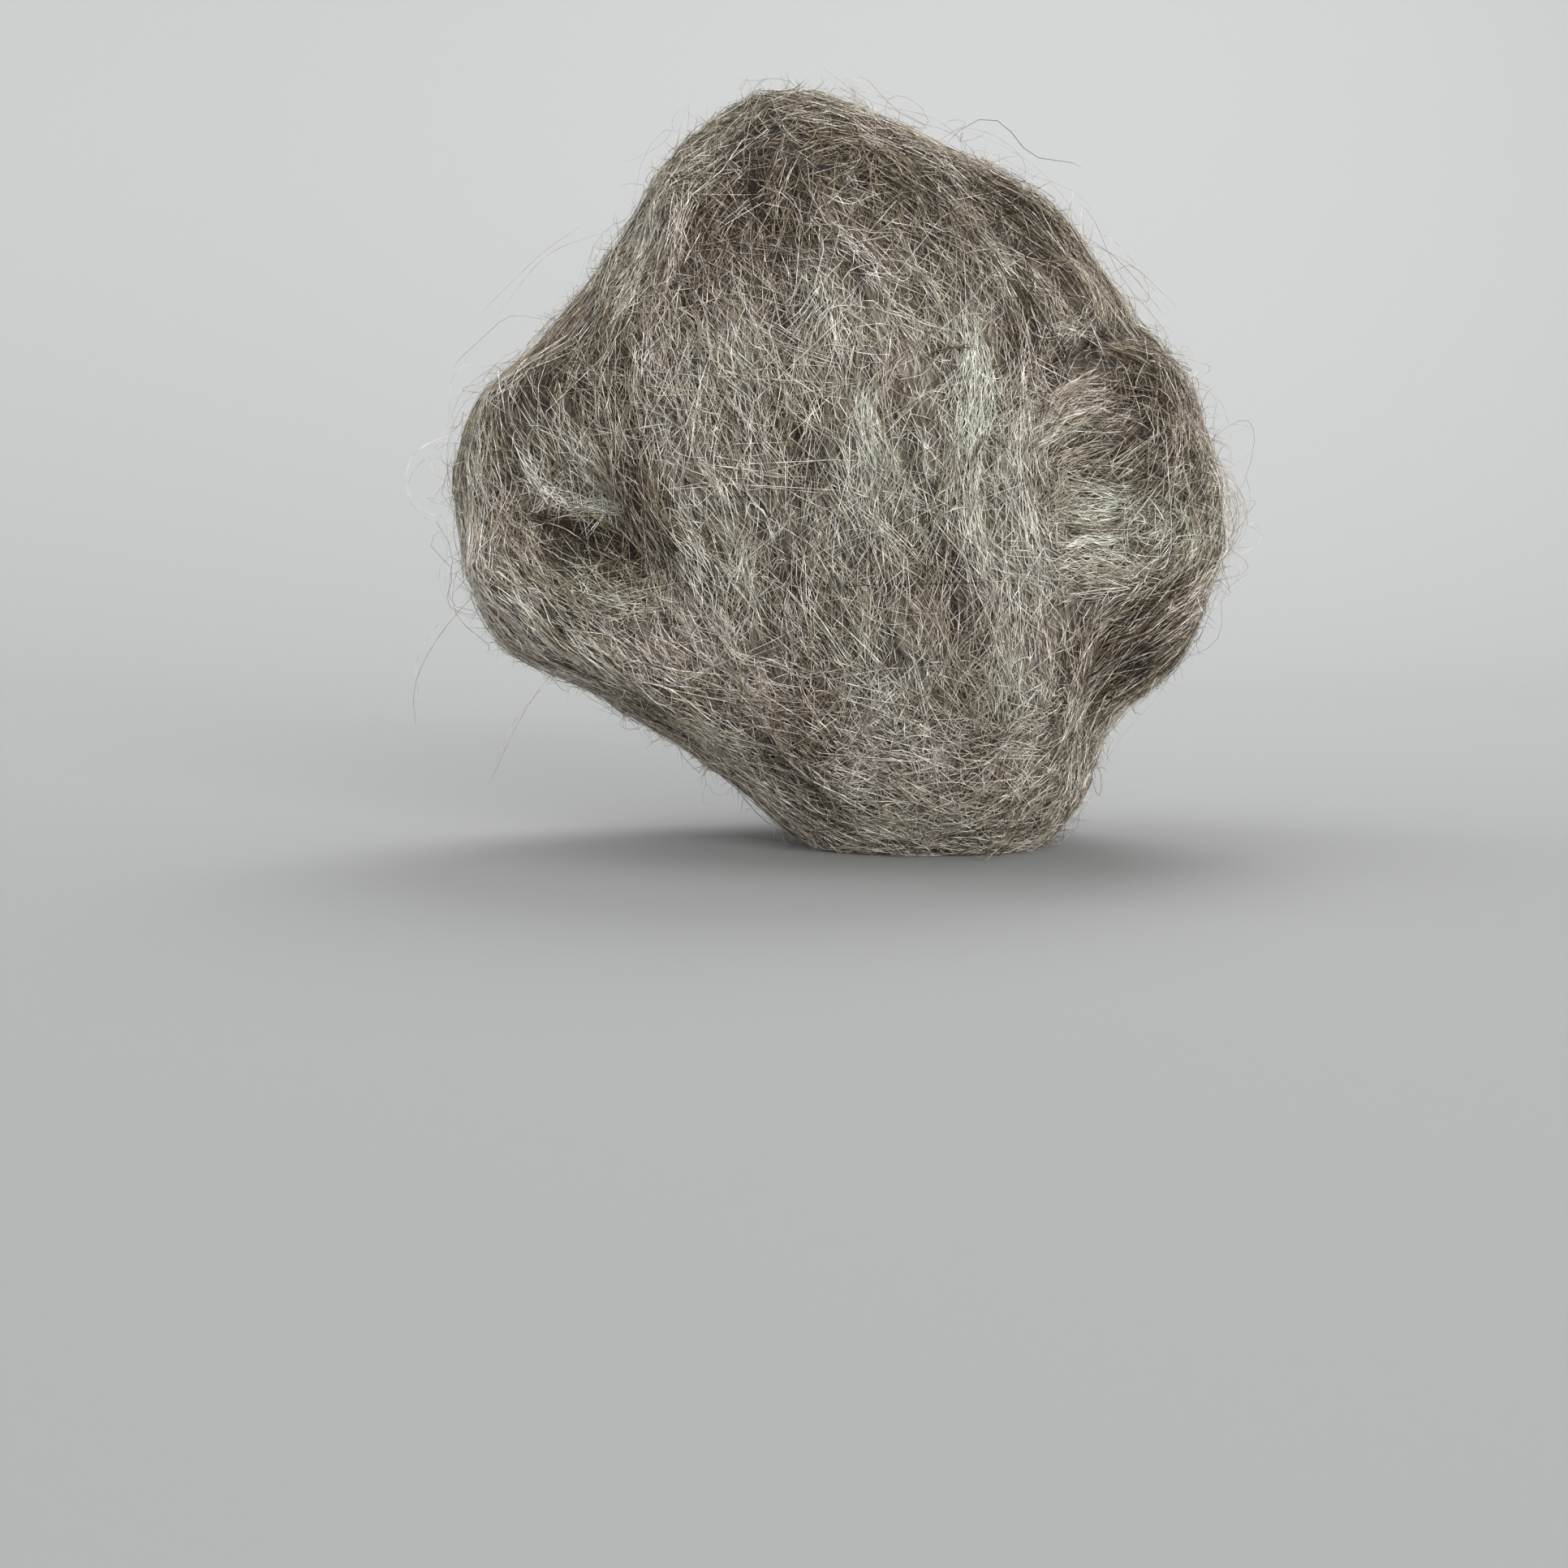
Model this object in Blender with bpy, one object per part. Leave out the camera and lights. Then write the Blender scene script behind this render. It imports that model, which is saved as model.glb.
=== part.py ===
"""A ball of carded wool roving, wound up by hand from one soft, untwisted length.

Units are metres, +Z is up, and the ball is seen from -Y as in a front view.
The winding runs in wide, flattened wraps. The last and widest one runs over the
crown, down the front and under the ball, and the wraps below it show at its sides.
The ball rests on a small flat spot, and the origin is under the middle of its box.
"""

import math
from collections import namedtuple

import bmesh
import bpy
import numpy as np

MM = 0.001

# Driving sizes, in millimetres.
DEPTH_FRONT_MM = 52.0  # from the middle plane to the front of the ball
DEPTH_BACK_MM = 50.0
DEEPER_TO_THE_RIGHT = 0.16  # the ball is this share deeper at its right than at its middle
HEART_Z_MM = 55.0  # height of the ball's heart, which the winding goes round
HALF_WIDTH_MM = 59.0
LEAN = math.radians(12.0)  # the crown leans this far to the left of the tip that it rests on
SHARP_FROM = math.radians(60.0)  # only the flat spot's rim is an edge
CELLS_PER_SIDE = 31  # the mesh is a cube's six square nets, blown up to the ball

# The outline in the front view, clockwise from the crown. The wool is cut off level at z = 0.
OutlinePoint = namedtuple("OutlinePoint", "place x_mm z_mm")
OUTLINE = [
    OutlinePoint("crown", -6.5, 118.6),
    OutlinePoint("crown, right", 3.0, 115.2),
    OutlinePoint("dip beside the crown", 14.8, 109.6),
    OutlinePoint("shoulder", 31.0, 101.8),
    OutlinePoint("shoulder, right", 39.5, 92.8),
    OutlinePoint("notch", 45.3, 83.4),
    OutlinePoint("right bulge, top", 54.0, 73.0),
    OutlinePoint("right bulge", 59.0, 55.0),
    OutlinePoint("right bulge, foot", 55.4, 37.0),
    OutlinePoint("right undercut", 50.0, 26.5),
    OutlinePoint("right undercut, end", 41.5, 19.0),
    OutlinePoint("right of the tip", 38.8, 9.5),
    OutlinePoint("tip, right", 30.0, -0.6),
    OutlinePoint("tip", 15.0, -3.5),
    OutlinePoint("tip, left", -2.5, -0.8),
    OutlinePoint("slope, low", -17.5, 12.0),
    OutlinePoint("slope, high", -39.0, 25.2),
    OutlinePoint("left lobe, foot", -54.2, 33.8),
    OutlinePoint("left lobe", -59.8, 53.0),
    OutlinePoint("left lobe, top", -57.8, 68.2),
    OutlinePoint("left waist", -47.5, 79.5),
    OutlinePoint("left flank", -35.0, 94.5),
    OutlinePoint("left of the crown", -26.0, 108.0),
    OutlinePoint("crown, left", -16.5, 116.4),
]
OUTLINE_STEPS = 24  # curve points between two outline points
SOFT_HARMONICS = 3  # how much of the outline's shape carries on to the front and back
OUTLINE_FADE = 5.0  # how quickly the rest of it fades away from the middle plane

# The wraps, in the order in which they were wound. A wrap lies in a slice of the ball, square
# to its axis and offset_mm from the heart along it. side is -1 for the front, 1 for the back
# and 0 for one that shows all the way round.
FRONT, ALL_ROUND, BACK = -1, 0, 1
Wrap = namedtuple("Wrap", "name axis offset_mm half_width_mm thick_mm side")
WRAPS = [
    Wrap("waist", (0.05, 0.12, 0.99), -3.0, 27.0, 2.6, ALL_ROUND),
    Wrap("slope", (0.62, 0.0, 0.79), -45.0, 13.0, 2.2, ALL_ROUND),
    Wrap("shoulder", (0.80, -0.05, 0.60), 43.0, 13.0, 2.2, ALL_ROUND),
    Wrap("back cross", (-0.55, 0.25, 0.80), 4.0, 19.0, 3.0, BACK),
]
WRAP_EDGE_MM = 8.0  # how far a wrap takes to thin out at its edge
SIDE_BLEND_MM = 20.0  # how far a wrap or fold of one side takes to begin, past the middle plane

# The last wrap, whose slice leans with the crown and bunches up at the crown and the tip.
BAND_HALF_WIDTH_MM = 33.0
BAND_THICK_MM = 4.2
BAND_BUNCHING = 0.6
BAND_REACH_MM = 62.0  # from the heart to the crown
BACK_SHIFT_MM = 9.0  # the band comes back up behind the ball this far to the right

# Creases, tucks and ridges, as lines in the front view. A raised one has a negative depth.
Fold = namedtuple("Fold", "name side deep_mm wide_mm points_mm")
FOLDS = [
    Fold("left tuck", FRONT, 5.6, 6.0, [(-46, 59), (-41, 54), (-35, 50), (-30, 47)]),
    Fold("left tuck, upper lip", FRONT, -1.6, 6.0, [(-44, 68), (-36, 60), (-28, 56)]),
    Fold("left tuck, lower lip", FRONT, -1.8, 8.0, [(-50, 44), (-42, 38), (-30, 32)]),
    Fold("left lobe", FRONT, -3.0, 9.0, [(-50, 68), (-53, 56), (-50, 46)]),
    Fold("left of the band", FRONT, 1.4, 7.0, [(-30, 86), (-35, 74), (-35, 64)]),
    Fold("right edge of the band", FRONT, 1.5, 6.5, [(33, 74), (32, 62), (33, 50), (35, 36), (37, 24)]),
    Fold("shoulder notch", FRONT, 2.6, 6.0, [(44, 81), (38, 77), (31, 75)]),
    Fold("side bundle", FRONT, -2.2, 7.0, [(38, 69), (46, 65), (52, 63)]),
    Fold("side bundle, valley", FRONT, 2.0, 5.0, [(36, 58), (43, 57), (50, 57)]),
    Fold("side bundle, lower", FRONT, -2.0, 6.5, [(38, 49), (45, 48), (53, 47)]),
    Fold("right undercut", FRONT, 2.2, 6.0, [(48, 31), (42, 25), (38, 16)]),
    Fold("crown crease", FRONT, 1.6, 5.0, [(-13, 108), (-11, 98), (-10, 84)]),
    Fold("crown lip", FRONT, -1.4, 7.0, [(-23, 98), (-21, 86), (-20, 70)]),
    Fold("shoulder crease", FRONT, 1.3, 7.0, [(6, 106), (18, 96), (27, 84)]),
    Fold("back tuck", BACK, 5.0, 7.0, [(-30, 62), (-22, 54), (-16, 42)]),
    Fold("back lip", BACK, -2.4, 9.0, [(-42, 62), (-34, 48), (-26, 34)]),
    Fold("back crease, high", BACK, 2.6, 7.0, [(-24, 90), (-12, 86), (4, 88)]),
    Fold("back crease, low", BACK, 2.6, 7.0, [(38, 66), (35, 48), (34, 32)]),
]

# Lanes, the soft ridges along the wool where the roving's strands lie side by side.
Lane = namedtuple("Lane", "pitch_mm high_mm drift_mm")
LANES = [Lane(21.0, 0.8, 5.0), Lane(13.0, 0.45, 3.0)]
LANE_DRIFT_PITCH_MM = 60.0

# Lumps, the uneven swell of hand winding.
Lump = namedtuple("Lump", "pitch_mm high_mm turn")
LUMPS = [Lump(64.0, 0.9, 0.4), Lump(41.0, 0.6, 2.1), Lump(29.0, 0.45, 4.0)]

# The outline table has the relief in it already, and the flat spot has none.
OUTLINE_RELIEF = 0.15  # the share of the relief that is left at the outline
RELIEF_GROWS_MM = 24.0  # the relief is whole this far from the outline and above the flat spot

WOOL_COLOUR = (0.272, 0.243, 0.205, 1.0)
WOOL_ROUGHNESS = 0.95


def clear_scene():
    for thing in list(bpy.data.objects):
        bpy.data.objects.remove(thing)


def smooth_step(value):
    """0 up to 0 and 1 from 1, with an even bend between them."""
    held = np.clip(value, 0.0, 1.0)
    return held * held * (3.0 - 2.0 * held)


def closed_curve(points):
    """A smooth closed curve through the points, with OUTLINE_STEPS points between each two."""
    before, after, later = (np.roll(points, shift, axis=0) for shift in (1, -1, -2))
    share = (np.arange(OUTLINE_STEPS) / OUTLINE_STEPS)[:, None, None]
    bend = 2 * before - 5 * points + 4 * after - later
    twist = 3 * points - 3 * after + later - before
    curve = points + 0.5 * share * (after - before + share * (bend + share * twist))
    return curve.transpose(1, 0, 2).reshape(-1, 2)


def outline_radii(samples=720):
    """The outline's distance from the heart at evenly spaced angles, all of it and its soft part."""
    points = np.array([(p.x_mm, p.z_mm - HEART_Z_MM) for p in OUTLINE])
    curve = closed_curve(points)
    angle = np.arctan2(curve[:, 1], curve[:, 0])
    order = np.argsort(angle)
    at = np.linspace(-math.pi, math.pi, samples, endpoint=False)
    radius = np.hypot(*curve.T)[order]
    full = np.interp(at, angle[order], radius, period=2 * math.pi)
    waves = np.fft.rfft(full)
    waves[SOFT_HARMONICS + 1 :] = 0.0
    return at, full, np.fft.irfft(waves, samples)


def smooth_ball(ways):
    """The ball without its wraps: a point in millimetres from the heart for each unit direction."""
    across = np.hypot(ways[:, 0], ways[:, 2])
    angle = np.arctan2(ways[:, 2], ways[:, 0])
    at, full, soft = outline_radii()
    full_here = np.interp(angle, at, full, period=2 * math.pi)
    soft_here = np.interp(angle, at, soft, period=2 * math.pi)
    radius = soft_here + (full_here - soft_here) * across**OUTLINE_FADE
    x = radius * across * np.cos(angle)
    z = radius * across * np.sin(angle)
    depth = np.where(ways[:, 1] < 0, DEPTH_FRONT_MM, DEPTH_BACK_MM)
    y = depth * ways[:, 1] * (1.0 + DEEPER_TO_THE_RIGHT * x / HALF_WIDTH_MM)
    return np.stack([x, y, z], axis=1)


def on_side(side, points):
    """1 on that side of the middle plane and 0 on the other, or 1 everywhere for ALL_ROUND."""
    if side == ALL_ROUND:
        return np.ones(len(points))
    return smooth_step(side * points[:, 1] / SIDE_BLEND_MM)


def wrap_cover(wrap, points):
    """1 where the wrap lies, thinning out to 0 over its edges."""
    axis = np.array(wrap.axis) / np.linalg.norm(wrap.axis)
    from_middle = np.abs(points @ axis - wrap.offset_mm)
    cover = smooth_step((wrap.half_width_mm - from_middle) / WRAP_EDGE_MM + 0.5)
    return cover * on_side(wrap.side, points)


def band_across(points):
    """How far a point lies across the last wrap, in millimetres at its widest place."""
    behind = smooth_step(points[:, 1] / DEPTH_BACK_MM)
    across = points[:, 0] * math.cos(LEAN) + points[:, 2] * math.sin(LEAN) - BACK_SHIFT_MM * behind
    along = points[:, 2] * math.cos(LEAN) - points[:, 0] * math.sin(LEAN)
    spread = 1.0 - BAND_BUNCHING * np.minimum(np.abs(along) / BAND_REACH_MM, 1.0) ** 2
    return across / np.sqrt(spread)


def band_cover(points):
    from_edge = BAND_HALF_WIDTH_MM - np.abs(band_across(points))
    return smooth_step(from_edge / WRAP_EDGE_MM + 0.5)


def distance_to_line(places, line):
    """The distance of each place in the front view to a line of straight runs."""
    nearest = np.full(len(places), np.inf)
    for start, end in zip(line[:-1], line[1:]):
        run = end - start
        share = np.clip((places - start) @ run / (run @ run), 0.0, 1.0)
        away = np.linalg.norm(places - start - share[:, None] * run, axis=1)
        nearest = np.minimum(nearest, away)
    return nearest


def fold_height(fold, points):
    """The fold's own height: a soft trough, or a ridge if its depth is negative."""
    line = np.array(fold.points_mm, float) - (0.0, HEART_Z_MM)
    away = distance_to_line(points[:, [0, 2]], line)
    return -fold.deep_mm * np.exp(-((away / fold.wide_mm) ** 2)) * on_side(fold.side, points)


def lane_height(across, along):
    """Ridges that run along a wrap and drift a little from side to side."""
    height = np.zeros(len(across))
    for lane in LANES:
        drift = lane.drift_mm * np.sin(2 * math.pi * along / LANE_DRIFT_PITCH_MM + lane.pitch_mm)
        height += lane.high_mm * np.sin(2 * math.pi * (across + drift) / lane.pitch_mm)
    return height


def lump_height(points):
    """Slow swells, each one a product of waves along turned axes."""
    height = np.zeros(len(points))
    for lump in LUMPS:
        turned = points[:, 0] * math.cos(lump.turn) + points[:, 1] * math.sin(lump.turn)
        other = points[:, 2] + points[:, 1] * math.cos(lump.turn)
        phase = 2 * math.pi / lump.pitch_mm
        height += lump.high_mm * np.sin(turned * phase + lump.turn) * np.cos(other * phase)
    return height


def relief(points):
    """The height in millimetres that wraps, folds, lanes and lumps add to the smooth ball."""
    band = band_cover(points)
    height = sum(wrap.thick_mm * wrap_cover(wrap, points) for wrap in WRAPS)
    height += lane_height(points @ np.array(WRAPS[0].axis), points[:, 0])
    on_band = BAND_THICK_MM + lane_height(band_across(points), points[:, 2])
    height += (on_band - height) * band
    height += lump_height(points)
    height -= height.mean()
    height += sum(fold_height(fold, points) for fold in FOLDS)
    away_from_outline = smooth_step(np.abs(points[:, 1]) / RELIEF_GROWS_MM)
    above_the_spot = smooth_step((points[:, 2] + HEART_Z_MM) / RELIEF_GROWS_MM)
    return height * (OUTLINE_RELIEF + (1.0 - OUTLINE_RELIEF) * away_from_outline) * above_the_spot


def wound_ball(ways):
    """The whole ball's points in millimetres, from the heart."""
    points = smooth_ball(ways)
    sizes = np.array([HALF_WIDTH_MM, DEPTH_FRONT_MM, HALF_WIDTH_MM])
    outward = points / sizes**2
    outward /= np.linalg.norm(outward, axis=1)[:, None]
    return points + outward * relief(points)[:, None]


def blown_up_cube():
    """A cube whose sides are nets of CELLS_PER_SIDE squares, blown up to a sphere of even cells."""
    net = bmesh.new()
    bmesh.ops.create_cube(net, size=2.0)
    bmesh.ops.subdivide_edges(net, edges=net.edges[:], cuts=CELLS_PER_SIDE - 1, use_grid_fill=True)
    corners = np.array([corner.co for corner in net.verts])
    ways = np.tan(corners * math.pi / 4)
    return net, ways / np.linalg.norm(ways, axis=1)[:, None]


def cut_flat_spot(net):
    """Cuts the wool off level at z = 0, which is the flat spot that the ball rests on."""
    everything = net.verts[:] + net.edges[:] + net.faces[:]
    bmesh.ops.bisect_plane(
        net, geom=everything, dist=1e-7, plane_co=(0, 0, 0), plane_no=(0, 0, 1), clear_inner=True
    )
    rim = [edge for edge in net.edges if edge.is_boundary]
    bmesh.ops.edgeloop_fill(net, edges=rim)
    bmesh.ops.recalc_face_normals(net, faces=net.faces[:])


def centre_over_origin(net):
    """Moves the ball sideways until its box is centred on the origin."""
    places = np.array([corner.co for corner in net.verts])
    middle = (places.min(axis=0) + places.max(axis=0)) / 2
    bmesh.ops.translate(net, vec=(-middle[0], -middle[1], 0.0), verts=net.verts[:])


def wool_material():
    wool = bpy.data.materials.new("carded_wool")
    wool.use_nodes = True
    shader = wool.node_tree.nodes["Principled BSDF"]
    shader.inputs["Base Color"].default_value = WOOL_COLOUR
    shader.inputs["Roughness"].default_value = WOOL_ROUGHNESS
    shader.inputs["Metallic"].default_value = 0.0
    return wool


def make_roving_ball(collection):
    net, ways = blown_up_cube()
    places = (wound_ball(ways) + (0.0, 0.0, HEART_Z_MM)) * MM
    for corner, place in zip(net.verts, places):
        corner.co = place
    cut_flat_spot(net)
    centre_over_origin(net)
    mesh = bpy.data.meshes.new("roving_ball")
    net.to_mesh(mesh)
    net.free()
    mesh.shade_smooth()
    mesh.set_sharp_from_angle(angle=SHARP_FROM)
    mesh.materials.append(wool_material())
    ball = bpy.data.objects.new("roving_ball", mesh)
    collection.objects.link(ball)
    return ball


def main():
    clear_scene()
    collection = bpy.data.collections.new("Wool roving ball")
    bpy.context.scene.collection.children.link(collection)
    make_roving_ball(collection)


main()
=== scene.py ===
# %% [markdown]
# # A ball of wool roving
#
# Roving is wool that has been washed and carded, so that its fibres lie roughly side by side, and then
# drawn off as one thick, soft length without any twist. This ball is one such length, wound up by hand.
# There is no yarn to draw here. What shows is a soft body under many thousands of loose fibres, most of
# them a fifth of a millimetre thick or less.
#
# The lesson builds it in that order: the body that was wound, the lie of the wool on it, a felted
# under-layer, and then the fibres themselves in several sorts.

from collections import namedtuple

import bpy
import numpy as np
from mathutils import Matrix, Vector


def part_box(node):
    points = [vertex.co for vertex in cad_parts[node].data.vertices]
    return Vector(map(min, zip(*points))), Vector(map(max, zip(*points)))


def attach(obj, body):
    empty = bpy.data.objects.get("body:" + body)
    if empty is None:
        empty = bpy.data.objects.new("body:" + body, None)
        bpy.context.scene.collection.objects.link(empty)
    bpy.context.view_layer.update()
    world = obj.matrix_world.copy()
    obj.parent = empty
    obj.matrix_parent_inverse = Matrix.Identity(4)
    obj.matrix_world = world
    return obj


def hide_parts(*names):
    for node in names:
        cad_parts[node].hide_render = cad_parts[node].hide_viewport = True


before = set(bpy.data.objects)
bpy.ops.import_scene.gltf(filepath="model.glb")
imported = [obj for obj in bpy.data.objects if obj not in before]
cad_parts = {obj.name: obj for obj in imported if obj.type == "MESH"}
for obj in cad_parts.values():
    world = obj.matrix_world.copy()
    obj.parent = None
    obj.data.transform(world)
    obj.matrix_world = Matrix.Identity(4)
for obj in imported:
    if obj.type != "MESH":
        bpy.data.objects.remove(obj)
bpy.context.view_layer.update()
MM = 0.001
BALL_NODE = "roving_ball"
HEART_MM = np.array([0.0, 0.0, 55.0])  # the middle that the winding goes round
ball_low, ball_high = (np.array(corner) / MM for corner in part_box(BALL_NODE))
print("ball, mm:", (ball_high - ball_low).round(1))


# %% [markdown]
# ## Small helpers
#
# Everything below works on whole arrays of points at once. A "way" is a direction out of the ball's heart,
# and because every way meets the wool's surface once, a way is also an address on that surface.


# %% Helpers
def in_scene(name, data):
    """A new object that holds the data, put into the scene."""
    thing = bpy.data.objects.new(name, data)
    bpy.context.scene.collection.objects.link(thing)
    return thing


def unit(rows):
    """Each row divided by its own length."""
    return rows / np.linalg.norm(rows, axis=-1, keepdims=True)


def smooth_step(value):
    """0 up to 0 and 1 from 1, with an even bend between them: 3 v squared less 2 v cubed."""
    held = np.clip(value, 0.0, 1.0)
    return held * held * (3.0 - 2.0 * held)


def drift(points, size_mm, seed, waves=14):
    """A smooth random field with a spread of 1: the sum of sine waves that run in random
    directions, each about size_mm long."""
    rng = np.random.default_rng(seed)
    pull = unit(rng.normal(size=(waves, 3))) / (size_mm * rng.uniform(0.7, 1.4, (waves, 1)))
    phase = rng.uniform(0.0, 2 * np.pi, waves)
    swings = np.sin(2 * np.pi * (points @ pull.T) + phase)
    return swings.sum(axis=-1) * np.sqrt(2.0 / waves)


# %% [markdown]
# ## A net over the ball
#
# A sphere from longitude and latitude crowds its points at two poles. A cube's six square nets, blown up
# to a sphere, stay even, have no pole and unfold into six neat squares on a texture map. Each net is a
# surface of two parameters, its two swing angles of -45 to 45 degrees.


# %% Six nets of directions
NET_CELLS = 78  # squares along each net's side


def net_ways(cells):
    """Ways of the six nets, as an array (6, cells + 1, cells + 1, 3). A point of the side that faces
    +X is (1, tan a, tan b), brought to unit length; the others are the same with the axes passed on."""
    swing = np.tan(np.linspace(-np.pi / 4, np.pi / 4, cells + 1))
    across, up = np.meshgrid(swing, swing, indexing="ij")
    sides = np.empty((6,) + across.shape + (3,))
    for number in range(6):
        axis, facing = number // 2, 1 - 2 * (number % 2)
        sides[number, ..., axis] = facing
        sides[number, ..., (axis + 1) % 3] = across * facing
        sides[number, ..., (axis + 2) % 3] = up
    return unit(sides)


def net_squares(cells):
    """Corner numbers of every square of the six nets, as an array (6, cells, cells, 4)."""
    corner = np.arange(6 * (cells + 1) ** 2).reshape(6, cells + 1, cells + 1)
    steps = [(0, 0), (1, 0), (1, 1), (0, 1)]
    return np.stack([corner[:, i : cells + i, j : cells + j] for i, j in steps], axis=-1)


NET_WAYS = net_ways(NET_CELLS)
print("net points:", NET_WAYS.shape[0] * NET_WAYS.shape[1] ** 2)


# %% [markdown]
# ## Laying the net on the solid
#
# The wound solid carries the ball's shape: its wraps, its tuck and its creases. A Shrinkwrap modifier
# pushes a tiny sphere's points outwards until they meet the solid, which reads its shape at any fineness.
# A few rounds of smoothing take off the solid's facets, because wool has none.


# %% The distance from the heart to the wool
SMOOTH_ROUNDS = 3


def pushed_out(ways, target):
    """Distances in millimetres from the heart to the target along each way."""
    mesh = bpy.data.meshes.new("reader")
    quads = net_squares(NET_CELLS).reshape(-1, 4)
    mesh.from_pydata(ways.reshape(-1, 3) * MM + HEART_MM * MM, [], quads)
    reader = in_scene("reader", mesh)
    wrap = reader.modifiers.new("push out", "SHRINKWRAP")
    wrap.wrap_method = "PROJECT"
    wrap.use_negative_direction = False
    wrap.use_positive_direction = True
    wrap.target = target
    seen = reader.evaluated_get(bpy.context.evaluated_depsgraph_get())
    places = np.empty(len(mesh.vertices) * 3)
    seen.data.vertices.foreach_get("co", places)
    bpy.data.objects.remove(reader)
    bpy.data.meshes.remove(mesh)
    reach = np.linalg.norm(places.reshape(-1, 3) / MM - HEART_MM, axis=1)
    return reach.reshape(ways.shape[:-1])


def smoothed(reach, rounds):
    """Each inner point of a net becomes the mean of itself and its four neighbours, some rounds
    over. The nets' borders keep the mean along the border, so that neighbouring nets still meet."""
    out = reach.copy()
    for _ in range(rounds):
        mean = out.copy()
        near = out[:, :-2, 1:-1] + out[:, 2:, 1:-1] + out[:, 1:-1, :-2] + out[:, 1:-1, 2:]
        mean[:, 1:-1, 1:-1] = (out[:, 1:-1, 1:-1] + near) / 5
        for edge in (mean[:, 0], mean[:, -1], mean[:, :, 0], mean[:, :, -1]):
            edge[:, 1:-1] = (edge[:, :-2] + edge[:, 1:-1] + edge[:, 2:]) / 3
        out = mean
    return out


solid_reach = smoothed(pushed_out(NET_WAYS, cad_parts[BALL_NODE]), SMOOTH_ROUNDS)
print("reach from the heart, mm:", solid_reach.min().round(1), "to", solid_reach.max().round(1))


# %% [markdown]
# ## The lie of the wool
#
# Wool fibres follow the wrap that they are part of, so the ball needs a direction at each of its points.
# The last wrap runs from the crown down the front, under the tip and up the back. Where it leaves the
# ball's sides bare, older wraps show: one goes level round the waist, and others follow the outline down
# the left lobe and along the lower slope. Each wrap is a slice of the ball square to an axis, so the
# fibres' direction is the cross product of the surface's normal and that axis.

# %% The last wrap's width
CROWN_LEAN = np.radians(12.0)
ACROSS_BAND = np.array([np.cos(CROWN_LEAN), 0.0, np.sin(CROWN_LEAN)])
ALONG_BAND = np.array([-np.sin(CROWN_LEAN), 0.0, np.cos(CROWN_LEAN)])
BAND_HALF_WIDTH_MM = 33.0
BAND_EDGE_MM = 9.0
BAND_BUNCHING = 0.6
BAND_REACH_MM = 62.0


def band_spread(places):
    """How wide the last wrap lies: 1 at mid-height, and less where it bunches up at crown and tip."""
    along = places @ ALONG_BAND
    return np.sqrt(1.0 - BAND_BUNCHING * np.minimum(np.abs(along) / BAND_REACH_MM, 1.0) ** 2)


def band_across(places):
    """Millimetres across the last wrap, stretched back to its full width."""
    return (places @ ACROSS_BAND) / band_spread(places)


def band_flow(places, normals):
    """Down the last wrap: square to the normal and to the slope of band_across."""
    along = places @ ALONG_BAND
    bend = BAND_BUNCHING * along * (places @ ACROSS_BAND) / (BAND_REACH_MM * band_spread(places)) ** 2
    slope = ACROSS_BAND + bend[..., None] * ALONG_BAND
    return np.cross(normals, slope)


bunched = BAND_HALF_WIDTH_MM * band_spread(BAND_REACH_MM * ALONG_BAND)
print("half width of the last wrap, mm:", BAND_HALF_WIDTH_MM, "and bunched up", bunched.round(1))


# %% The wraps below
WAIST_AXIS = unit(np.array([0.05, 0.12, 0.99]))
RIM_AXIS = np.array([0.0, 1.0, 0.0])
BACK_CROSS_AXIS = unit(np.array([-0.55, 0.25, 0.80]))
FLOWS = ("last wrap", "waist", "rim", "wrap that crosses the back")


def wrap_shares(places):
    """How much each of FLOWS counts at a place, as columns that add up to 1. In each smooth step the
    first number is a border, in millimetres from the heart, and the second is how wide it blends."""
    x, y, z = places[..., 0], places[..., 1], places[..., 2]
    band = smooth_step((BAND_HALF_WIDTH_MM - np.abs(band_across(places))) / BAND_EDGE_MM + 0.5)
    right = smooth_step((x - 22.0) / 10.0)
    level = smooth_step((30.0 - z) / 10.0) * smooth_step((z + 30.0) / 16.0)
    behind = smooth_step((y - 4.0) / 16.0)
    cross = behind * smooth_step((-10.0 - x) / 16.0)
    waist = np.maximum(right * level, behind * (1.0 - cross))
    rest = 1.0 - band
    rim = np.clip(1.0 - waist - cross, 0.0, 1.0)
    shares = np.stack([band, rest * waist, rest * rim, rest * cross], axis=-1)
    return shares / shares.sum(axis=-1, keepdims=True)


mean_shares = wrap_shares(NET_WAYS * solid_reach[..., None]).mean(axis=(0, 1, 2))
for flow_name, share in zip(FLOWS, mean_shares):
    print(flow_name, "counts for", share.round(2), "of the net")


def wrap_flow(places, normals):
    """The unit direction of the wraps. Each wrap's direction is turned to agree with the one that
    counts most, and they are added by their shares."""
    shares = wrap_shares(places)
    ways = np.stack(
        [
            unit(band_flow(places, normals)),
            unit(np.cross(normals, WAIST_AXIS)),
            unit(np.cross(normals, RIM_AXIS)),
            unit(np.cross(normals, BACK_CROSS_AXIS)),
        ],
        axis=-2,
    )
    first = np.take_along_axis(ways, shares.argmax(axis=-1)[..., None, None], axis=-2)
    agree = np.where((ways * first).sum(axis=-1, keepdims=True) < 0, -1.0, 1.0)
    return unit((ways * agree * shares[..., None]).sum(axis=-2))


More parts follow.
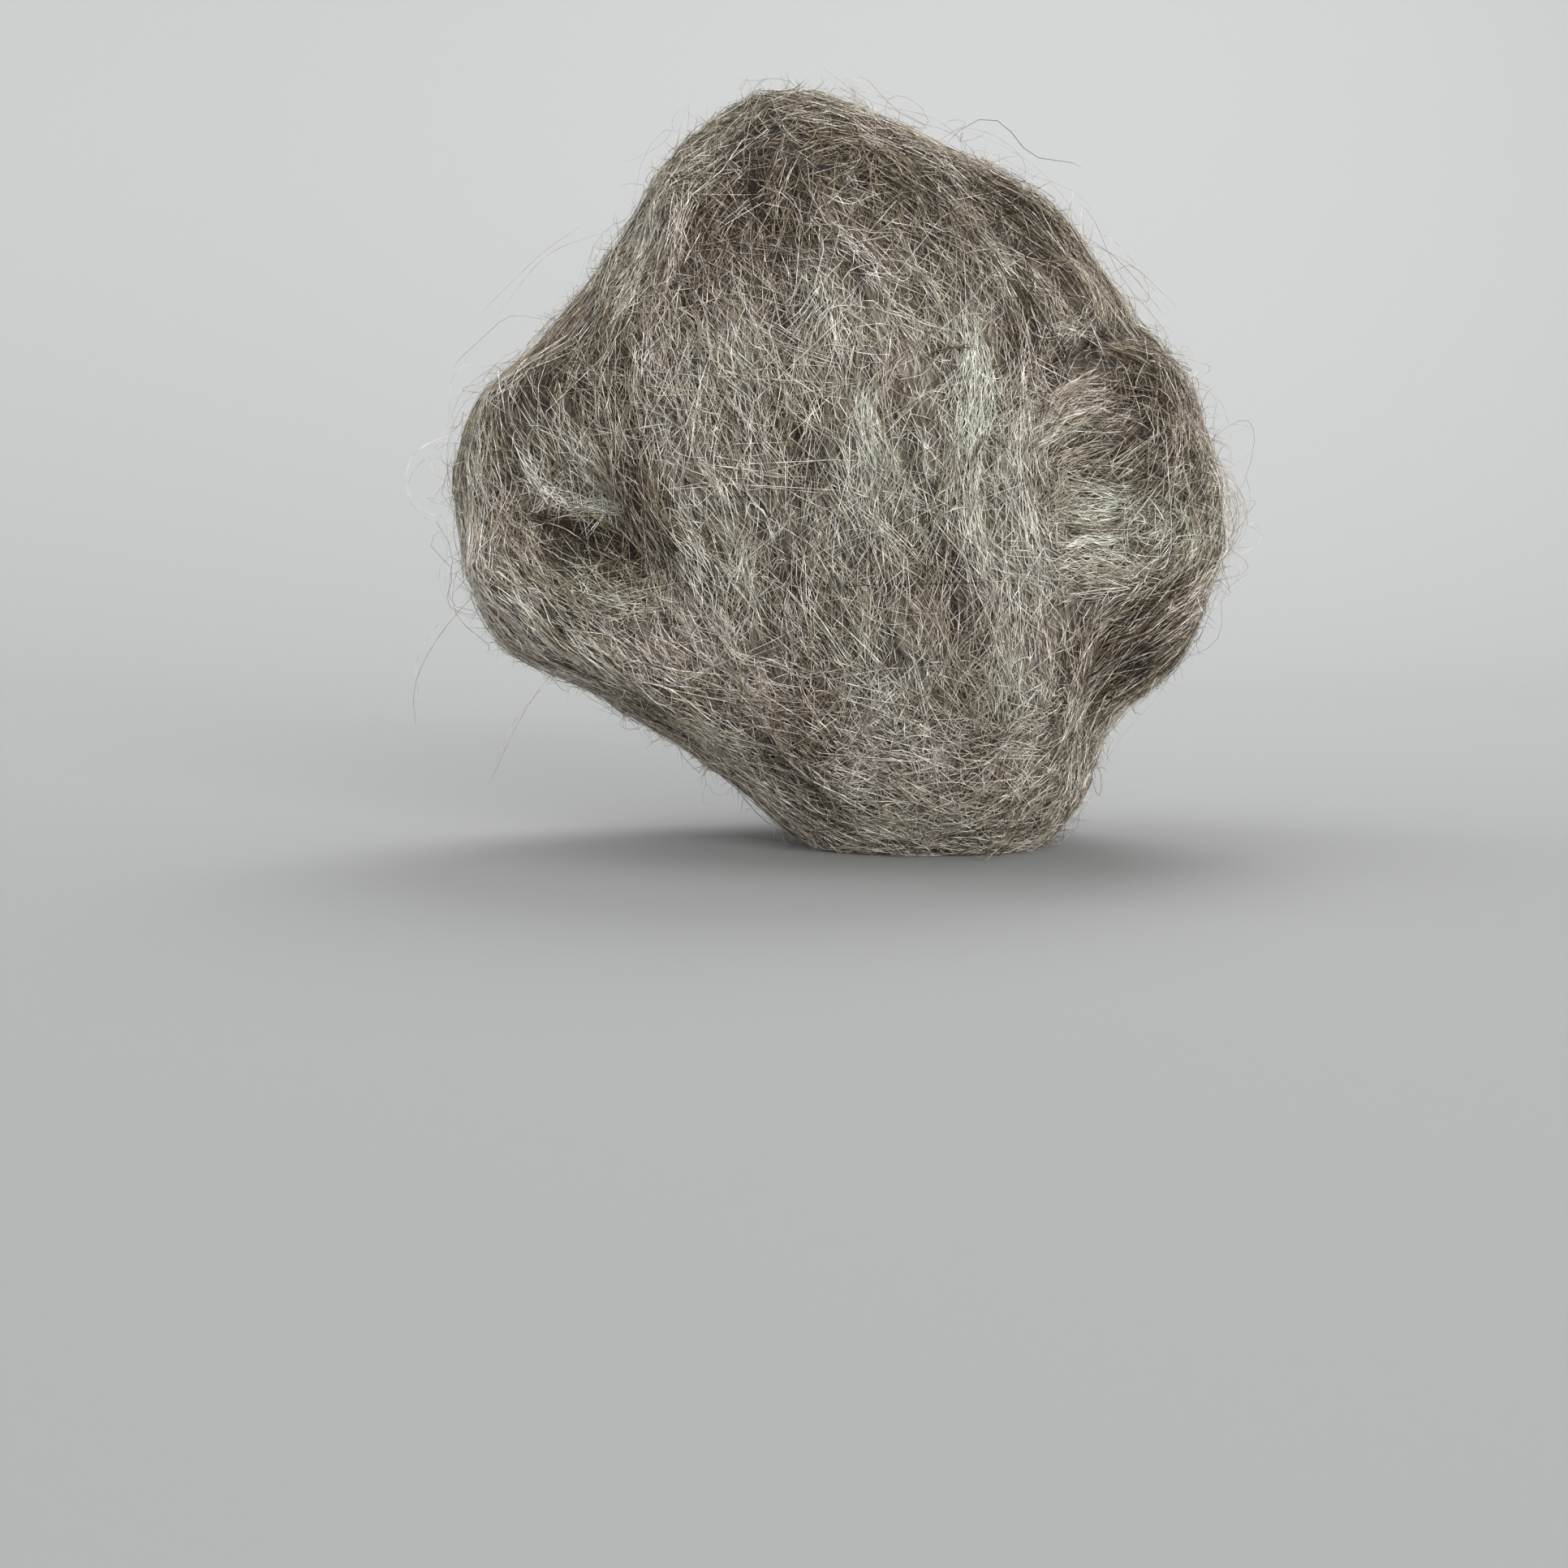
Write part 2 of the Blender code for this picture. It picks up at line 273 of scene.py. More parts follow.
# %% [markdown]
# ## Where hands have pressed and pulled
#
# A wrap is laid by hand, so it doesn't keep to its slice. It fans out of the crown, turns round the tuck
# and spreads over the shoulder. Each such place is a stroke: a spot in the front view and the angle at
# which the wool runs there, 0 for level and 90 for upright. A fibre runs neither forwards nor backwards
# along its line, so the strokes are averaged with their angles doubled, which makes 10 and 170 degrees
# neighbours, and halved again at the end.

# %% Strokes
Stroke = namedtuple("Stroke", "where x_mm z_mm turn_deg")
STROKES = [
    Stroke("crown, left of the knob", -15, 113, 46),
    Stroke("crown, right of the knob", 8, 113, 132),
    Stroke("high left edge", -34, 101, 66),
    Stroke("under the crown, left", -18, 101, 108),
    Stroke("under the crown, right", 12.5, 97, 119),
    Stroke("high right shoulder", 25, 102, 131),
    Stroke("right shoulder", 37.5, 90, 116),
    Stroke("inside the right shoulder", 26, 88, 118),
    Stroke("left edge", -43, 86, 60),
    Stroke("left of the band", -31, 89, 76),
    Stroke("band, high left", -18, 84, 114),
    Stroke("band, high right", 7, 84, 110),
    Stroke("rim over the notch", 48.5, 74, 108),
    Stroke("fan under the notch", 39, 73, 26),
    Stroke("start of the fan", 33.5, 70, 40),
    Stroke("top of the left lobe", -47, 73, 92),
    Stroke("side of the left lobe", -57, 58, 92),
    Stroke("above the tuck", -38, 68, 112),
    Stroke("band, left edge", -27, 74, 104),
    Stroke("band beside the tuck", -29, 61, 112),
    Stroke("upper lip of the tuck", -43, 57, 134),
    Stroke("tuck", -38, 47, 142),
    Stroke("end of the tuck", -31, 45, 124),
    Stroke("slope under the tuck", -47, 38, 132),
    Stroke("middle of the slope", -33, 29, 131),
    Stroke("low slope", -21, 17, 138),
    Stroke("foot of the slope", -9, 9, 128),
    Stroke("pale run", 19.5, 66, 82),
    Stroke("edge of the band", 28, 55, 104),
    Stroke("root of the side bundle", 33.5, 58, 14),
    Stroke("side bundle", 42, 60, 17),
    Stroke("low side bundle", 37.5, 48, 174),
    Stroke("inside the right rim", 47.5, 63, 84),
    Stroke("below the side bundles", 43, 36, 42),
    Stroke("edge above the foot", 33.5, 28, 100),
    Stroke("low right side", 41, 22, 66),
    Stroke("right rim", 53.5, 50, 62),
    Stroke("foot, right", 27, 14, 98),
    Stroke("foot, right edge", 35.5, 9, 76),
    Stroke("foot, middle", 3.5, 21, 92),
    Stroke("foot, low", 12.5, 9, 98),
    Stroke("notch", 42, 79, 32),
]
STROKE_REACH_MM = 9.0
WRAP_HOLD = 0.25  # how much the wraps' own direction counts against one stroke
print(len(STROKES), "strokes")


def wool_flow(places, normals):
    """The wraps' direction, turned towards the strokes near by on the side that faces forwards. Each
    stroke counts by a bell curve of its distance. The part inwards is what keeps the averaged
    direction on the surface without changing its angle in the front view."""
    flow = wrap_flow(places, normals)
    at = np.array([stroke[1:] for stroke in STROKES])
    x = places[..., 0, None] - at[:, 0]
    z = places[..., 2, None] + HEART_MM[2] - at[:, 1]
    near = np.exp(-(x**2 + z**2) / STROKE_REACH_MM**2)
    doubled = (near * np.exp(2j * np.radians(at[:, 2]))).sum(axis=-1)
    doubled += WRAP_HOLD * np.exp(2j * np.arctan2(flow[..., 2], flow[..., 0]))
    turn = np.angle(doubled) / 2
    sideways, upright = np.cos(turn), np.sin(turn)
    inwards = (sideways * normals[..., 0] + upright * normals[..., 2]) / np.maximum(-normals[..., 1], 0.2)
    brushed = np.stack([sideways, inwards, upright], axis=-1)
    brushed = unit(brushed - normals * (brushed * normals).sum(axis=-1, keepdims=True))
    agree = np.where((brushed * flow).sum(axis=-1, keepdims=True) < 0, -1.0, 1.0)
    facing = smooth_step((-normals[..., 1:2] - 0.1) / 0.4)
    return unit(flow + facing * (brushed * agree - flow))


# %% [markdown]
# ## Locks
#
# Within a wrap the fibres gather into locks, soft ridges a few millimetres wide that run with the flow,
# drift to the side and lose themselves. They are sine waves of the coordinate across the wrap, and a
# smooth random field shifts and fades them. A few narrow creases, where one wrap meets the next, and a few
# soft swells are set one by one. The net's distances take it all in, so that the under-layer and every
# fibre lie on the same ridges.

# %% Locks
def in_patch(places, patch):
    """A place in the front view, measured along and across a patch as shares of its two sizes."""
    turn = np.radians(patch.turn_deg)
    x, z = places[..., 0] - patch.x_mm, places[..., 2] + HEART_MM[2] - patch.z_mm
    along = (x * np.cos(turn) + z * np.sin(turn)) / patch.long_mm
    return along, (z * np.cos(turn) - x * np.sin(turn)) / patch.wide_mm


Lock = namedtuple("Lock", "pitch_mm high_mm drift_mm")
LOCKS = [Lock(9.0, 0.30, 1.8), Lock(5.5, 0.18, 1.2)]


def across_wool(places):
    """The coordinate across the wool of each wrap, in millimetres, as columns like FLOWS."""
    columns = [
        band_across(places),
        places @ WAIST_AXIS,
        np.hypot(places[..., 0], places[..., 2]),
        places @ BACK_CROSS_AXIS,
    ]
    return np.stack(columns, axis=-1)


def lock_height(places):
    """Ridges in millimetres: for each wrap and lock size, a sine of the drifted coordinate across."""
    shares, across = wrap_shares(places), across_wool(places)
    height = np.zeros(places.shape[:-1])
    for number, lock in enumerate(LOCKS):
        aside = lock.drift_mm * drift(places, 22.0, 11 + number)
        fade = smooth_step(0.55 + 0.4 * drift(places, 18.0, 21 + number))
        waves = np.sin(2 * np.pi * (across + aside[..., None]) / lock.pitch_mm)
        height += lock.high_mm * fade * (waves * shares).sum(axis=-1)
    return height


# %% [markdown]
# A crease or a swell is placed in the front view like a stroke, with half its length and half its width,
# and with its height, which is below zero for a crease.

# %% Creases and swells
Relief = namedtuple("Relief", "name x_mm z_mm long_mm wide_mm turn_deg high_mm")
RELIEFS = [
    Relief("mouth of the tuck", -37.5, 49.3, 9.5, 1.8, -29, -3.2),
    Relief("between the side bundles", 39, 50.5, 7.0, 1.6, 0, -0.8),
    Relief("under the fan", 38, 60, 8.5, 1.8, 8, -1.4),
    Relief("notch of the right shoulder", 41, 79.5, 9.0, 1.8, 29, -1.8),
    Relief("below the crown", -9.5, 97, 7.5, 1.5, 109, -1.5),
    Relief("right edge of the last wrap", 20, 95, 14.0, 1.6, 131, -1.0),
    Relief("high right shoulder", 28, 104, 13.0, 8.0, 138, 0.7),
    Relief("rim over the notch", 46, 81, 6.0, 5.0, 118, 1.0),
    Relief("left shoulder", -50, 75, 13.0, 7.0, 50, 0.3),
]


def relief_height(places):
    """Millimetres to add: a bell curve across each relief, with a flatter one along it."""
    height = np.zeros(places.shape[:-1])
    facing = smooth_step(1.0 - places[..., 1] / 14.0)
    for relief in RELIEFS:
        along, aside = in_patch(places, relief)
        height += relief.high_mm * np.exp(-(along**4) - aside**2) * facing
    return height


net_places = NET_WAYS * solid_reach[..., None]
above_spot = smooth_step((net_places[..., 2] + HEART_MM[2]) / 10.0)
wool_reach = solid_reach + lock_height(net_places) * above_spot + relief_height(net_places)
raised = wool_reach - solid_reach
print("locks and creases, mm:", raised.min().round(2), "to", raised.max().round(2))


# %% [markdown]
# ## Reading the surface anywhere
#
# Fibres start between the net's points, so the table of distances is read with straight-line blending in
# both directions: find the net that a way points at, its two swing angles there, and mix the four
# neighbours. The normal comes from two more readings a little to each side.


# %% Places and normals for any way
def reach_at(ways):
    """The distance to the wool along each way, read from the nets with bilinear blending."""
    axis = np.abs(ways).argmax(axis=-1)
    lead = np.take_along_axis(ways, axis[..., None], axis=-1)[..., 0]
    second = np.take_along_axis(ways, (axis[..., None] + 1) % 3, axis=-1)[..., 0]
    third = np.take_along_axis(ways, (axis[..., None] + 2) % 3, axis=-1)[..., 0]
    net = axis * 2 + (lead < 0)
    row = (np.arctan(second / lead) / (np.pi / 2) + 0.5) * NET_CELLS
    column = (np.arctan(third / np.abs(lead)) / (np.pi / 2) + 0.5) * NET_CELLS
    row_low = np.clip(row.astype(int), 0, NET_CELLS - 1)
    column_low = np.clip(column.astype(int), 0, NET_CELLS - 1)
    row_part, column_part = row - row_low, column - column_low
    near = wool_reach[net, row_low, column_low] * (1 - row_part)
    near += wool_reach[net, row_low + 1, column_low] * row_part
    far = wool_reach[net, row_low, column_low + 1] * (1 - row_part)
    far += wool_reach[net, row_low + 1, column_low + 1] * row_part
    return near * (1 - column_part) + far * column_part


def place_at(ways):
    """Points on the wool, in millimetres from the heart."""
    return ways * reach_at(ways)[..., None]


def normal_at(ways, step=0.02):
    """Unit normals: the cross product of the surface's run in two directions square to the way."""
    aside = unit(np.cross(ways, np.where(np.abs(ways[..., :1]) < 0.7, [1.0, 0, 0], [0, 1.0, 0])))
    above = np.cross(ways, aside)
    run_aside = place_at(unit(ways + step * aside)) - place_at(unit(ways - step * aside))
    run_above = place_at(unit(ways + step * above)) - place_at(unit(ways - step * above))
    return unit(np.cross(run_aside, run_above))


FOREMOST = np.array([[0.0, -1.0, 0.0]])
print("straight ahead: reach, mm:", reach_at(FOREMOST).round(1), "normal:", normal_at(FOREMOST).round(2))


# %% [markdown]
# ## Wool colours
#
# Natural grey wool isn't dyed. Cream, silver, brown and nearly black fibres grow on the same sheep, and
# carding only half mixes them, so that the ball has lighter and darker streaks, some a little green and
# some a little mauve. One number, the tone, places a fibre between the darkest and the lightest wool, and
# a second, the tint, moves it between the green and the mauve.

# %% Tones of the fleece
Tone = namedtuple("Tone", "at red green blue")
FLEECE = [
    Tone(0.00, 0.016, 0.0105, 0.0055),
    Tone(0.15, 0.068, 0.0445, 0.0235),
    Tone(0.35, 0.195, 0.151, 0.101),
    Tone(0.55, 0.392, 0.328, 0.238),
    Tone(0.75, 0.603, 0.540, 0.444),
    Tone(1.00, 0.872, 0.833, 0.765),
]
GREEN_TINT = np.array([0.955, 1.01, 0.98])
MAUVE_TINT = np.array([1.03, 0.98, 0.985])


def fleece_colours(tone, tint):
    """Colours for tones of 0 to 1, read from FLEECE and tinted, with a column of ones for alpha."""
    at = [step.at for step in FLEECE]
    channels = [np.interp(tone, at, [step[1 + k] for step in FLEECE]) for k in range(3)]
    colour = np.stack(channels, axis=-1)
    green = np.maximum(-tint, 0.0)[..., None]
    mauve = np.maximum(tint, 0.0)[..., None]
    colour = colour * (1 + green * (GREEN_TINT - 1)) * (1 + mauve * (MAUVE_TINT - 1))
    return np.concatenate([colour, np.ones_like(green)], axis=-1)


print("colour of the middle tone:", fleece_colours(np.array(0.5), np.array(0.0)).round(3))


# %% [markdown]
# Carding leaves more pale wool in one place and more dark wool in the next. A patch is such a place, or a
# crease, hollow or downturned side whose darkening is painted shade: a spot in the front view, half its
# length and half its width, the angle at which it lies, how far it lifts the tone, and how far it leans
# towards green or mauve. It fades out in a bell curve.

# %% Pale and dark patches
Patch = namedtuple("Patch", "name x_mm z_mm long_mm wide_mm turn_deg lift tint", defaults=(0.0,))
PATCHES = [
    Patch("dark crown", -8, 111, 16, 8, 0, -0.31, 0.2),
    Patch("dark left of the crown", -20.5, 95, 6, 4, 60, -0.26, 0.2),
    # Painted shade in the crease below the crown.
    Patch("dark below the crown", -10.5, 97, 12, 5, 100, -0.2, 0.3),
    Patch("pale spot below the knob", -0.5, 99, 7, 4, 100, 0.3),
    Patch("dark below the knob", 10, 99, 11, 6, 125, -0.2, 0.1),
    Patch("dark high shoulder", 26, 99, 16, 7, 132, -0.37, 0.1),
    Patch("pale right shoulder, low", 36.5, 77, 6, 4, 118, 0.13, 0.2),
    Patch("dark inside the shoulder", 27, 79, 9, 4, 115, -0.16, 0.1),
    Patch("dark left edge", -38, 82, 14, 6, 62, -0.12, 0.1),
    Patch("dark top of the left lobe", -46, 71, 7, 6, 70, -0.24),
    Patch("pale left of the middle", -15, 70, 24, 6, 103, 0.20, 0.1),
    Patch("pale middle, high", 8, 80, 13, 8, 105, 0.26, 0.1),
    Patch("pale middle", 0.5, 60, 34, 5, 97, 0.17, -0.3),
    Patch("pale run, left", -18, 50, 14, 5, 105, 0.2, -0.3),
    Patch("pale run, high", 20.5, 71, 13, 5.0, 95, 0.20, -0.4),
    Patch("pale run, right of the middle", 23, 52, 30, 5.5, 95, 0.28, -0.6),
    Patch("pale edge of the band", 32.5, 54, 12, 5, 85, 0.10, 0.1),
    Patch("pale side bundle, high", 33.5, 68.5, 8, 3.6, 24, 0.2, 0.3),
    Patch("pale side bundle, low", 38, 51, 12, 6.0, 0, 0.38, -0.5),
    Patch("dark side, high", 43, 71.5, 8, 5, 110, -0.3, 0.3),
    # Painted shadow between the fan and the level bundle.
    Patch("dark side", 42, 61.5, 9, 3.5, 12, -0.2, 0.3),
    # Painted shade on the lower right bulge, which faces down.
    Patch("dark under the side bundles", 46, 34, 10, 6, -35, -0.34, 0.3),
    Patch("dark low side", 42, 26, 9, 6, 60, -0.22, 0.3),
    # Painted shade in the crease beside the tuck.
    Patch("dark beside the tuck", -32, 63, 10, 4.0, 100, -0.32),
    # Painted shade in the tuck.
    Patch("dark tuck", -36, 49, 8.5, 3.0, -31, -0.36),
    Patch("tuck lip", -42, 60, 10, 4.0, -50, 0.22, -0.8),
    Patch("left lobe", -55, 60, 16, 7, 88, -0.08),
    Patch("slope, pale", -50, 41, 10, 5, -50, 0.18, 0.2),
    Patch("pale slope, inner", -26, 38, 12, 5, -50, 0.15, 0.1),
    Patch("dark streak right of the middle", 16.5, 37, 14, 3.2, 95, -0.36, 0.1),
    Patch("dark slope", -8, 16, 12, 4, -50, -0.34, 0.1),
    Patch("pale foot", 10, 20, 14, 9, 60, 0.39, 0.1),
    Patch("dark right foot", 30.5, 8, 8, 5, 90, -0.02, 0.1),
    Patch("green foot", 1.5, 8, 16, 6, -35, -0.05, -0.6),
    Patch("dark middle", -7, 62, 9, 3, 105, -0.4, 0.1),
    Patch("pale inner shoulder", 29.5, 88, 8, 3, 110, 0.08),
    Patch("pale lower lip", -34, 41, 6, 3, -20, 0.10, -0.9),
    Patch("pale left edge of the band", -27, 68, 18, 3.5, 102, 0.13, 0.1),
    Patch("pale left, high", -30, 82, 8, 4, 75, 0.18, 0.1),
    Patch("pale inside the right foot", 29, 27, 9, 4, 92, 0.24, 0.1),
    Patch("pale left foot", -14, 25, 10, 4, -55, 0.34, 0.1),
    Patch("pale middle, right", 8, 65, 10, 6, 95, 0.16),
    Patch("pale beside the run", 12, 57, 9, 5, 95, 0.17, -0.2),
    Patch("pale middle, low", -7, 40, 7, 4, 100, 0.12),
    Patch("pale below the level bundle", 37, 40.5, 7, 4, 0, 0.36, -0.3),
    Patch("pale foot, high", 5, 24, 8, 5, 80, 0.15, 0.1),
    Patch("pale right foot", 28, 17, 6, 5, 90, 0.06),
    Patch("dark streak beside the tuck", -27, 58, 6, 3, 105, -0.16),
    Patch("dark low middle", 6, 39, 6, 3, 95, -0.12),
    Patch("pale top of the left lobe", -52, 72, 6, 4, 60, 0.2),
    Patch("pale left rim", -56, 46, 10, 4, 95, 0.34),
    Patch("pale over the tuck", -37, 60, 6, 5, -50, 0.27, -0.2),
    # Painted shade on the lower right bulge, which faces down.
    Patch("dark right rim, low", 48.5, 39.5, 6, 4, 60, -0.34, 0.2),
    Patch("dark right of the foot", 39, 33, 6, 4, 80, -0.16, 0.2),
    Patch("dark shoulder rim", 48, 79, 6, 4, 110, -0.22, 0.1),
    Patch("dark streak, high", 10.5, 68, 8, 2.8, 97, -0.08),
    Patch("pale streak, middle", 4.5, 61, 7, 3, 97, 0.18, -0.2),
    Patch("pale streak, left", -13, 36, 7, 3, 102, 0.14),
    Patch("pale streak, high left", -13, 75, 9, 4, 105, 0.36),
    Patch("dark foot, left", -7, 18, 7, 3, -60, -0.28),
    Patch("dark low streak", -7, 46, 5, 3, 100, -0.14),
    Patch("pale rim of the high shoulder", 18, 107, 7, 4, 141, 0.2, 0.1),
    Patch("pale shoulder", 22.5, 90, 6, 4, 115, 0.2, -0.4),
    Patch("pale end of the tuck", -25.5, 45, 5, 3, 100, 0.31),
    Patch("dark edge of the knob", -7, 102, 5, 3, 100, -0.16, 0.1),
    Patch("pale below the fan", 28.5, 63, 6, 4, 20, 0.2),
    Patch("pale edge of the band, low", 29.5, 33, 12, 4, 95, 0.13),
    # Painted shadow between the fan and the level bundle.
    Patch("dark between fan and bundle", 42, 58.5, 5, 3, 0, -0.15, 0.1),
    Patch("pale middle, left", -6, 52, 9, 4, 0, 0.22),
    Patch("pale middle of the slope", -32, 33, 7, 4, -50, 0.28),
    # Painted shade higher up the crease beside the tuck.
    Patch("dark beside the tuck, high", -32, 71, 5, 3, 100, -0.24),
    Patch("dark below the notch", 29, 75, 6, 3, 100, -0.2, 0.1),
    Patch("pale right of the middle, high", 10.5, 77, 7, 3, 100, 0.24),
    Patch("pale middle, above", -0.5, 71, 6, 3, 100, 0.14),
    Patch("pale right of the run", 23, 52, 6, 3, 95, 0.12),
    Patch("pale right of the middle, low", 10.5, 39, 6, 2.5, 95, 0.2),
    Patch("pale edge beside the tuck", -26, 63, 5, 3, 100, 0.3),
    Patch("pale bottom of the foot", 17, 10, 7, 5, 90, 0.12),
    Patch("dark root of the fan", 29, 56.5, 5, 3, 95, -0.27, 0.1),
    Patch("dark high shoulder, low", 26, 96.5, 7, 4, 130, -0.13, 0.1),
    Patch("dark edge beside the tuck", -26, 52, 5, 3, 100, -0.12),
    Patch("dark rim of the high shoulder", 32, 98.5, 8, 3, 133, -0.14, 0.1),
    Patch("pale lobe, low", -48, 52, 7, 4, 90, 0.12),
    Patch("pale edge of the run", 17.5, 64, 5, 3, 95, 0.12, -0.2),
    Patch("dark right edge", 50.5, 62, 8, 5, 90, -0.12, 0.1),
]


def fleece_and_shade_lift(places):
    """How much lighter (above 0) or darker the wool is at a place, and its tint, -1 green to 1 mauve:
    two smooth random fields for each, and a bell curve for every patch on the side that faces forwards.
    Where a patch darkens a crease, the tuck or a downturned side, that darkening is painted shade."""
    lift = 0.045 * drift(places, 26.0, 31) + 0.045 * drift(places, 9.0, 32)
    tint = 0.30 * drift(places, 30.0, 33) + 0.25 * drift(places, 9.0, 34)
    facing = smooth_step(0.5 - places[..., 1] / 12.0)
    for patch in PATCHES:
        along, aside = in_patch(places, patch)
        near = np.exp(-(along**2) - aside**2) * facing
        lift += patch.lift * near
        tint += patch.tint * near
    return lift, np.clip(tint, -1.0, 1.0)


print(len(PATCHES), "patches")


# %% [markdown]
# ## Pieces from arrays
#
# Every piece of wool is one mesh, made in one go from whole arrays: its points, its faces, the places of
# their corners on the piece's own map, and a colour for each point. A piece also says which body it moves
# with and what it is made of.


# %% A new piece
def point_colours(mesh, name, rows):
    """Puts four numbers on each point of a mesh."""
    mesh.color_attributes.new(name, "FLOAT_COLOR", "POINT").data.foreach_set(
        "color", rows.astype(np.float32).ravel()
    )


def new_piece(name, points_mm, faces, uv, colours):
    """A mesh object from points in millimetres from the heart, with a map and point colours."""
    mesh = bpy.data.meshes.new(name)
    mesh.from_pydata((points_mm + HEART_MM) * MM, [], faces)
    mesh.uv_layers.new(name="OFBake").data.foreach_set("uv", uv.astype(np.float32).ravel())
    point_colours(mesh, "fleece", colours)
    mesh.shade_smooth()
    piece = in_scene(name, mesh)
    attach(piece, "root")
    print(name, "has", (faces.shape[1] - 2) * len(faces), "triangles")
    return piece


# %% [markdown]
# ## The under-layer
#
# Below the loose fibres the wool is so dense that it reads as one felted skin. It is the net itself, with
# about a third of a millimetre taken off so that the fibres lie on it and not in it. It stands for the
# solid. Its colours are those of the fleece, drawn a little towards grey, because they stand for fibres of
# every colour at once. It is also darker than the fibres over it: painted shade in the gaps between them.
# Its six squares unfold side by side on a map of their own. Two sets of four numbers go with its points for
# the material: how far across each wrap the point lies, and how much each wrap counts there.

# %% Build the under-layer
SKIN_DEPTH_MM = 0.3
# The skin's tone is set dark: painted shade in the gaps between the fibres over it.
SKIN_TONE_AND_SHADE = 0.32
SKIN_GREYNESS = 0.3  # how far its colours are drawn towards plain grey
MAP_COLUMNS, MAP_ROWS, MAP_MARGIN = 3, 2, 0.004


def net_faces(cells):
    """Corner numbers and map places of every square of the six nets, each net in its own square."""
    quads = net_squares(cells).reshape(-1, 4)
    share = np.arange(cells + 1) / cells * (1 - 2 * MAP_MARGIN) + MAP_MARGIN
    net = np.arange(6)
    left = (net % MAP_COLUMNS)[:, None, None] + share[None, :, None]
    low = (net // MAP_COLUMNS)[:, None, None] + share[None, None, :]
    u, v = np.broadcast_arrays(left / MAP_COLUMNS, low / MAP_ROWS)
    places = np.stack([u, v], axis=-1).reshape(-1, 2)
    return quads, places[quads.ravel()]


net_quads, net_map = net_faces(NET_CELLS)
skin_reach = wool_reach - SKIN_DEPTH_MM * above_spot
all_ways = NET_WAYS.reshape(-1, 3)
_, first_use, shared = np.unique(
    np.round(all_ways, 6), axis=0, return_index=True, return_inverse=True
)
shared = shared.ravel()
skin_points = (all_ways * skin_reach.reshape(-1, 1))[first_use]
skin_points[:, 2] = np.maximum(skin_points[:, 2], -HEART_MM[2])
skin_lift, skin_tint = fleece_and_shade_lift(skin_points)
skin_colours = fleece_colours(SKIN_TONE_AND_SHADE + 0.5 * skin_lift, skin_tint)
skin_colours[:, :3] += SKIN_GREYNESS * (skin_colours[:, 1:2] - skin_colours[:, :3])
under_wool = new_piece("under_wool", skin_points, shared[net_quads], net_map, skin_colours)
skin_aside = 0.5 * drift(skin_points, 17.0, 51) + 0.16 * drift(skin_points, 7.0, 52)
point_colours(under_wool.data, "across_wraps", across_wool(skin_points) + skin_aside[:, None])
point_colours(under_wool.data, "wrap_shares", wrap_shares(skin_points))
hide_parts(BALL_NODE)


# %% [markdown]
# ## Walking over the wool
#
# A fibre is walked over the ball: from a starting way it takes short steps along the wool's flow, turned
# aside by an angle. Part of that angle is a smooth field, so that neighbours turn together. The rest is
# the fibre's own: a steady lean, a crimp that swings as a sine, and a curl that grows from end to end. All
# fibres of a sort are walked at once, one step for all of them at a time.


# %% Walk
LENGTH_SPREAD = 0.22
BROAD_TURN_DEG, BROAD_TURN_MM = 6.0, 15.0
SMALL_TURN_DEG, SMALL_TURN_MM = 10.0, 5.0


def steps_along(points):
    """Shares of a fibre's length at its points: even steps, but the first and the last are half as
    long, so that the pointed ends stay short."""
    return np.clip((np.arange(points) - 0.5) / (points - 2), 0.0, 1.0)


def even_ways(rng, count):
    """Random ways that are spread evenly over the wool: of many ways, each is kept with a chance
    that grows with the square of its reach."""
    ways = unit(rng.normal(size=(count * 4, 3)))
    chance = (reach_at(ways) / wool_reach.max()) ** 2
    kept = ways[rng.random(len(ways)) < chance]
    return kept[:count]


def walk(rng, ways, points, long_mm, lean_deg, crimp_deg, curl_deg, wildness=1.0):
    """Centre lines (fibres, points, 3) on the wool, the normals there and each line's length.
    wildness is how much more than its sort each fibre strays."""
    count = len(ways)
    length = long_mm * rng.lognormal(0.0, LENGTH_SPREAD, count)
    lean = np.radians(lean_deg) * rng.normal(size=count) * wildness
    crimp = np.radians(crimp_deg) * rng.uniform(0.4, 1.4, count) * wildness
    crimp_pitch_mm = rng.uniform(6.0, 13.0, count)
    crimp_phase = rng.uniform(0.0, 2 * np.pi, count)
    curl = np.radians(curl_deg) * rng.normal(size=count) * wildness
    before = None
    shares = steps_along(points)
    lines, normals = [], []
    for part, step in zip(shares, np.diff(shares, append=1.0)):
        places = place_at(ways)
        normal = normal_at(ways)
        lines.append(places)
        normals.append(normal)
        flow = wool_flow(places, normal)
        if before is None:
            sense = np.where(rng.random(count) < 0.5, -1.0, 1.0)
        else:
            sense = np.where((flow * before).sum(axis=-1) < 0, -1.0, 1.0)
        flow = before = flow * sense[:, None]
        turned = np.radians(BROAD_TURN_DEG) * drift(places, BROAD_TURN_MM, 41)
        turned += np.radians(SMALL_TURN_DEG) * drift(places, SMALL_TURN_MM, 42)
        swing = crimp * np.sin(2 * np.pi * part * length / crimp_pitch_mm + crimp_phase)
        angle = (turned + lean + swing + curl * (part - 0.5))[:, None]
        heading = np.cos(angle) * flow + np.sin(angle) * np.cross(normal, flow)
        ways = unit(places + heading * (length * step)[:, None])
    return np.stack(lines, axis=1), np.stack(normals, axis=1), length


# %% [markdown]
# ## From line to fibre
#
# Each line gets a three-sided tube that runs to a point at both ends. Three sides are enough, because a
# fibre is about as thin as one pixel of the picture and its shading is smooth. All tubes of a sort are one
# mesh, and each fibre has a small square of the map to itself, where its length runs up the square and
# its three sides lie next to each other.


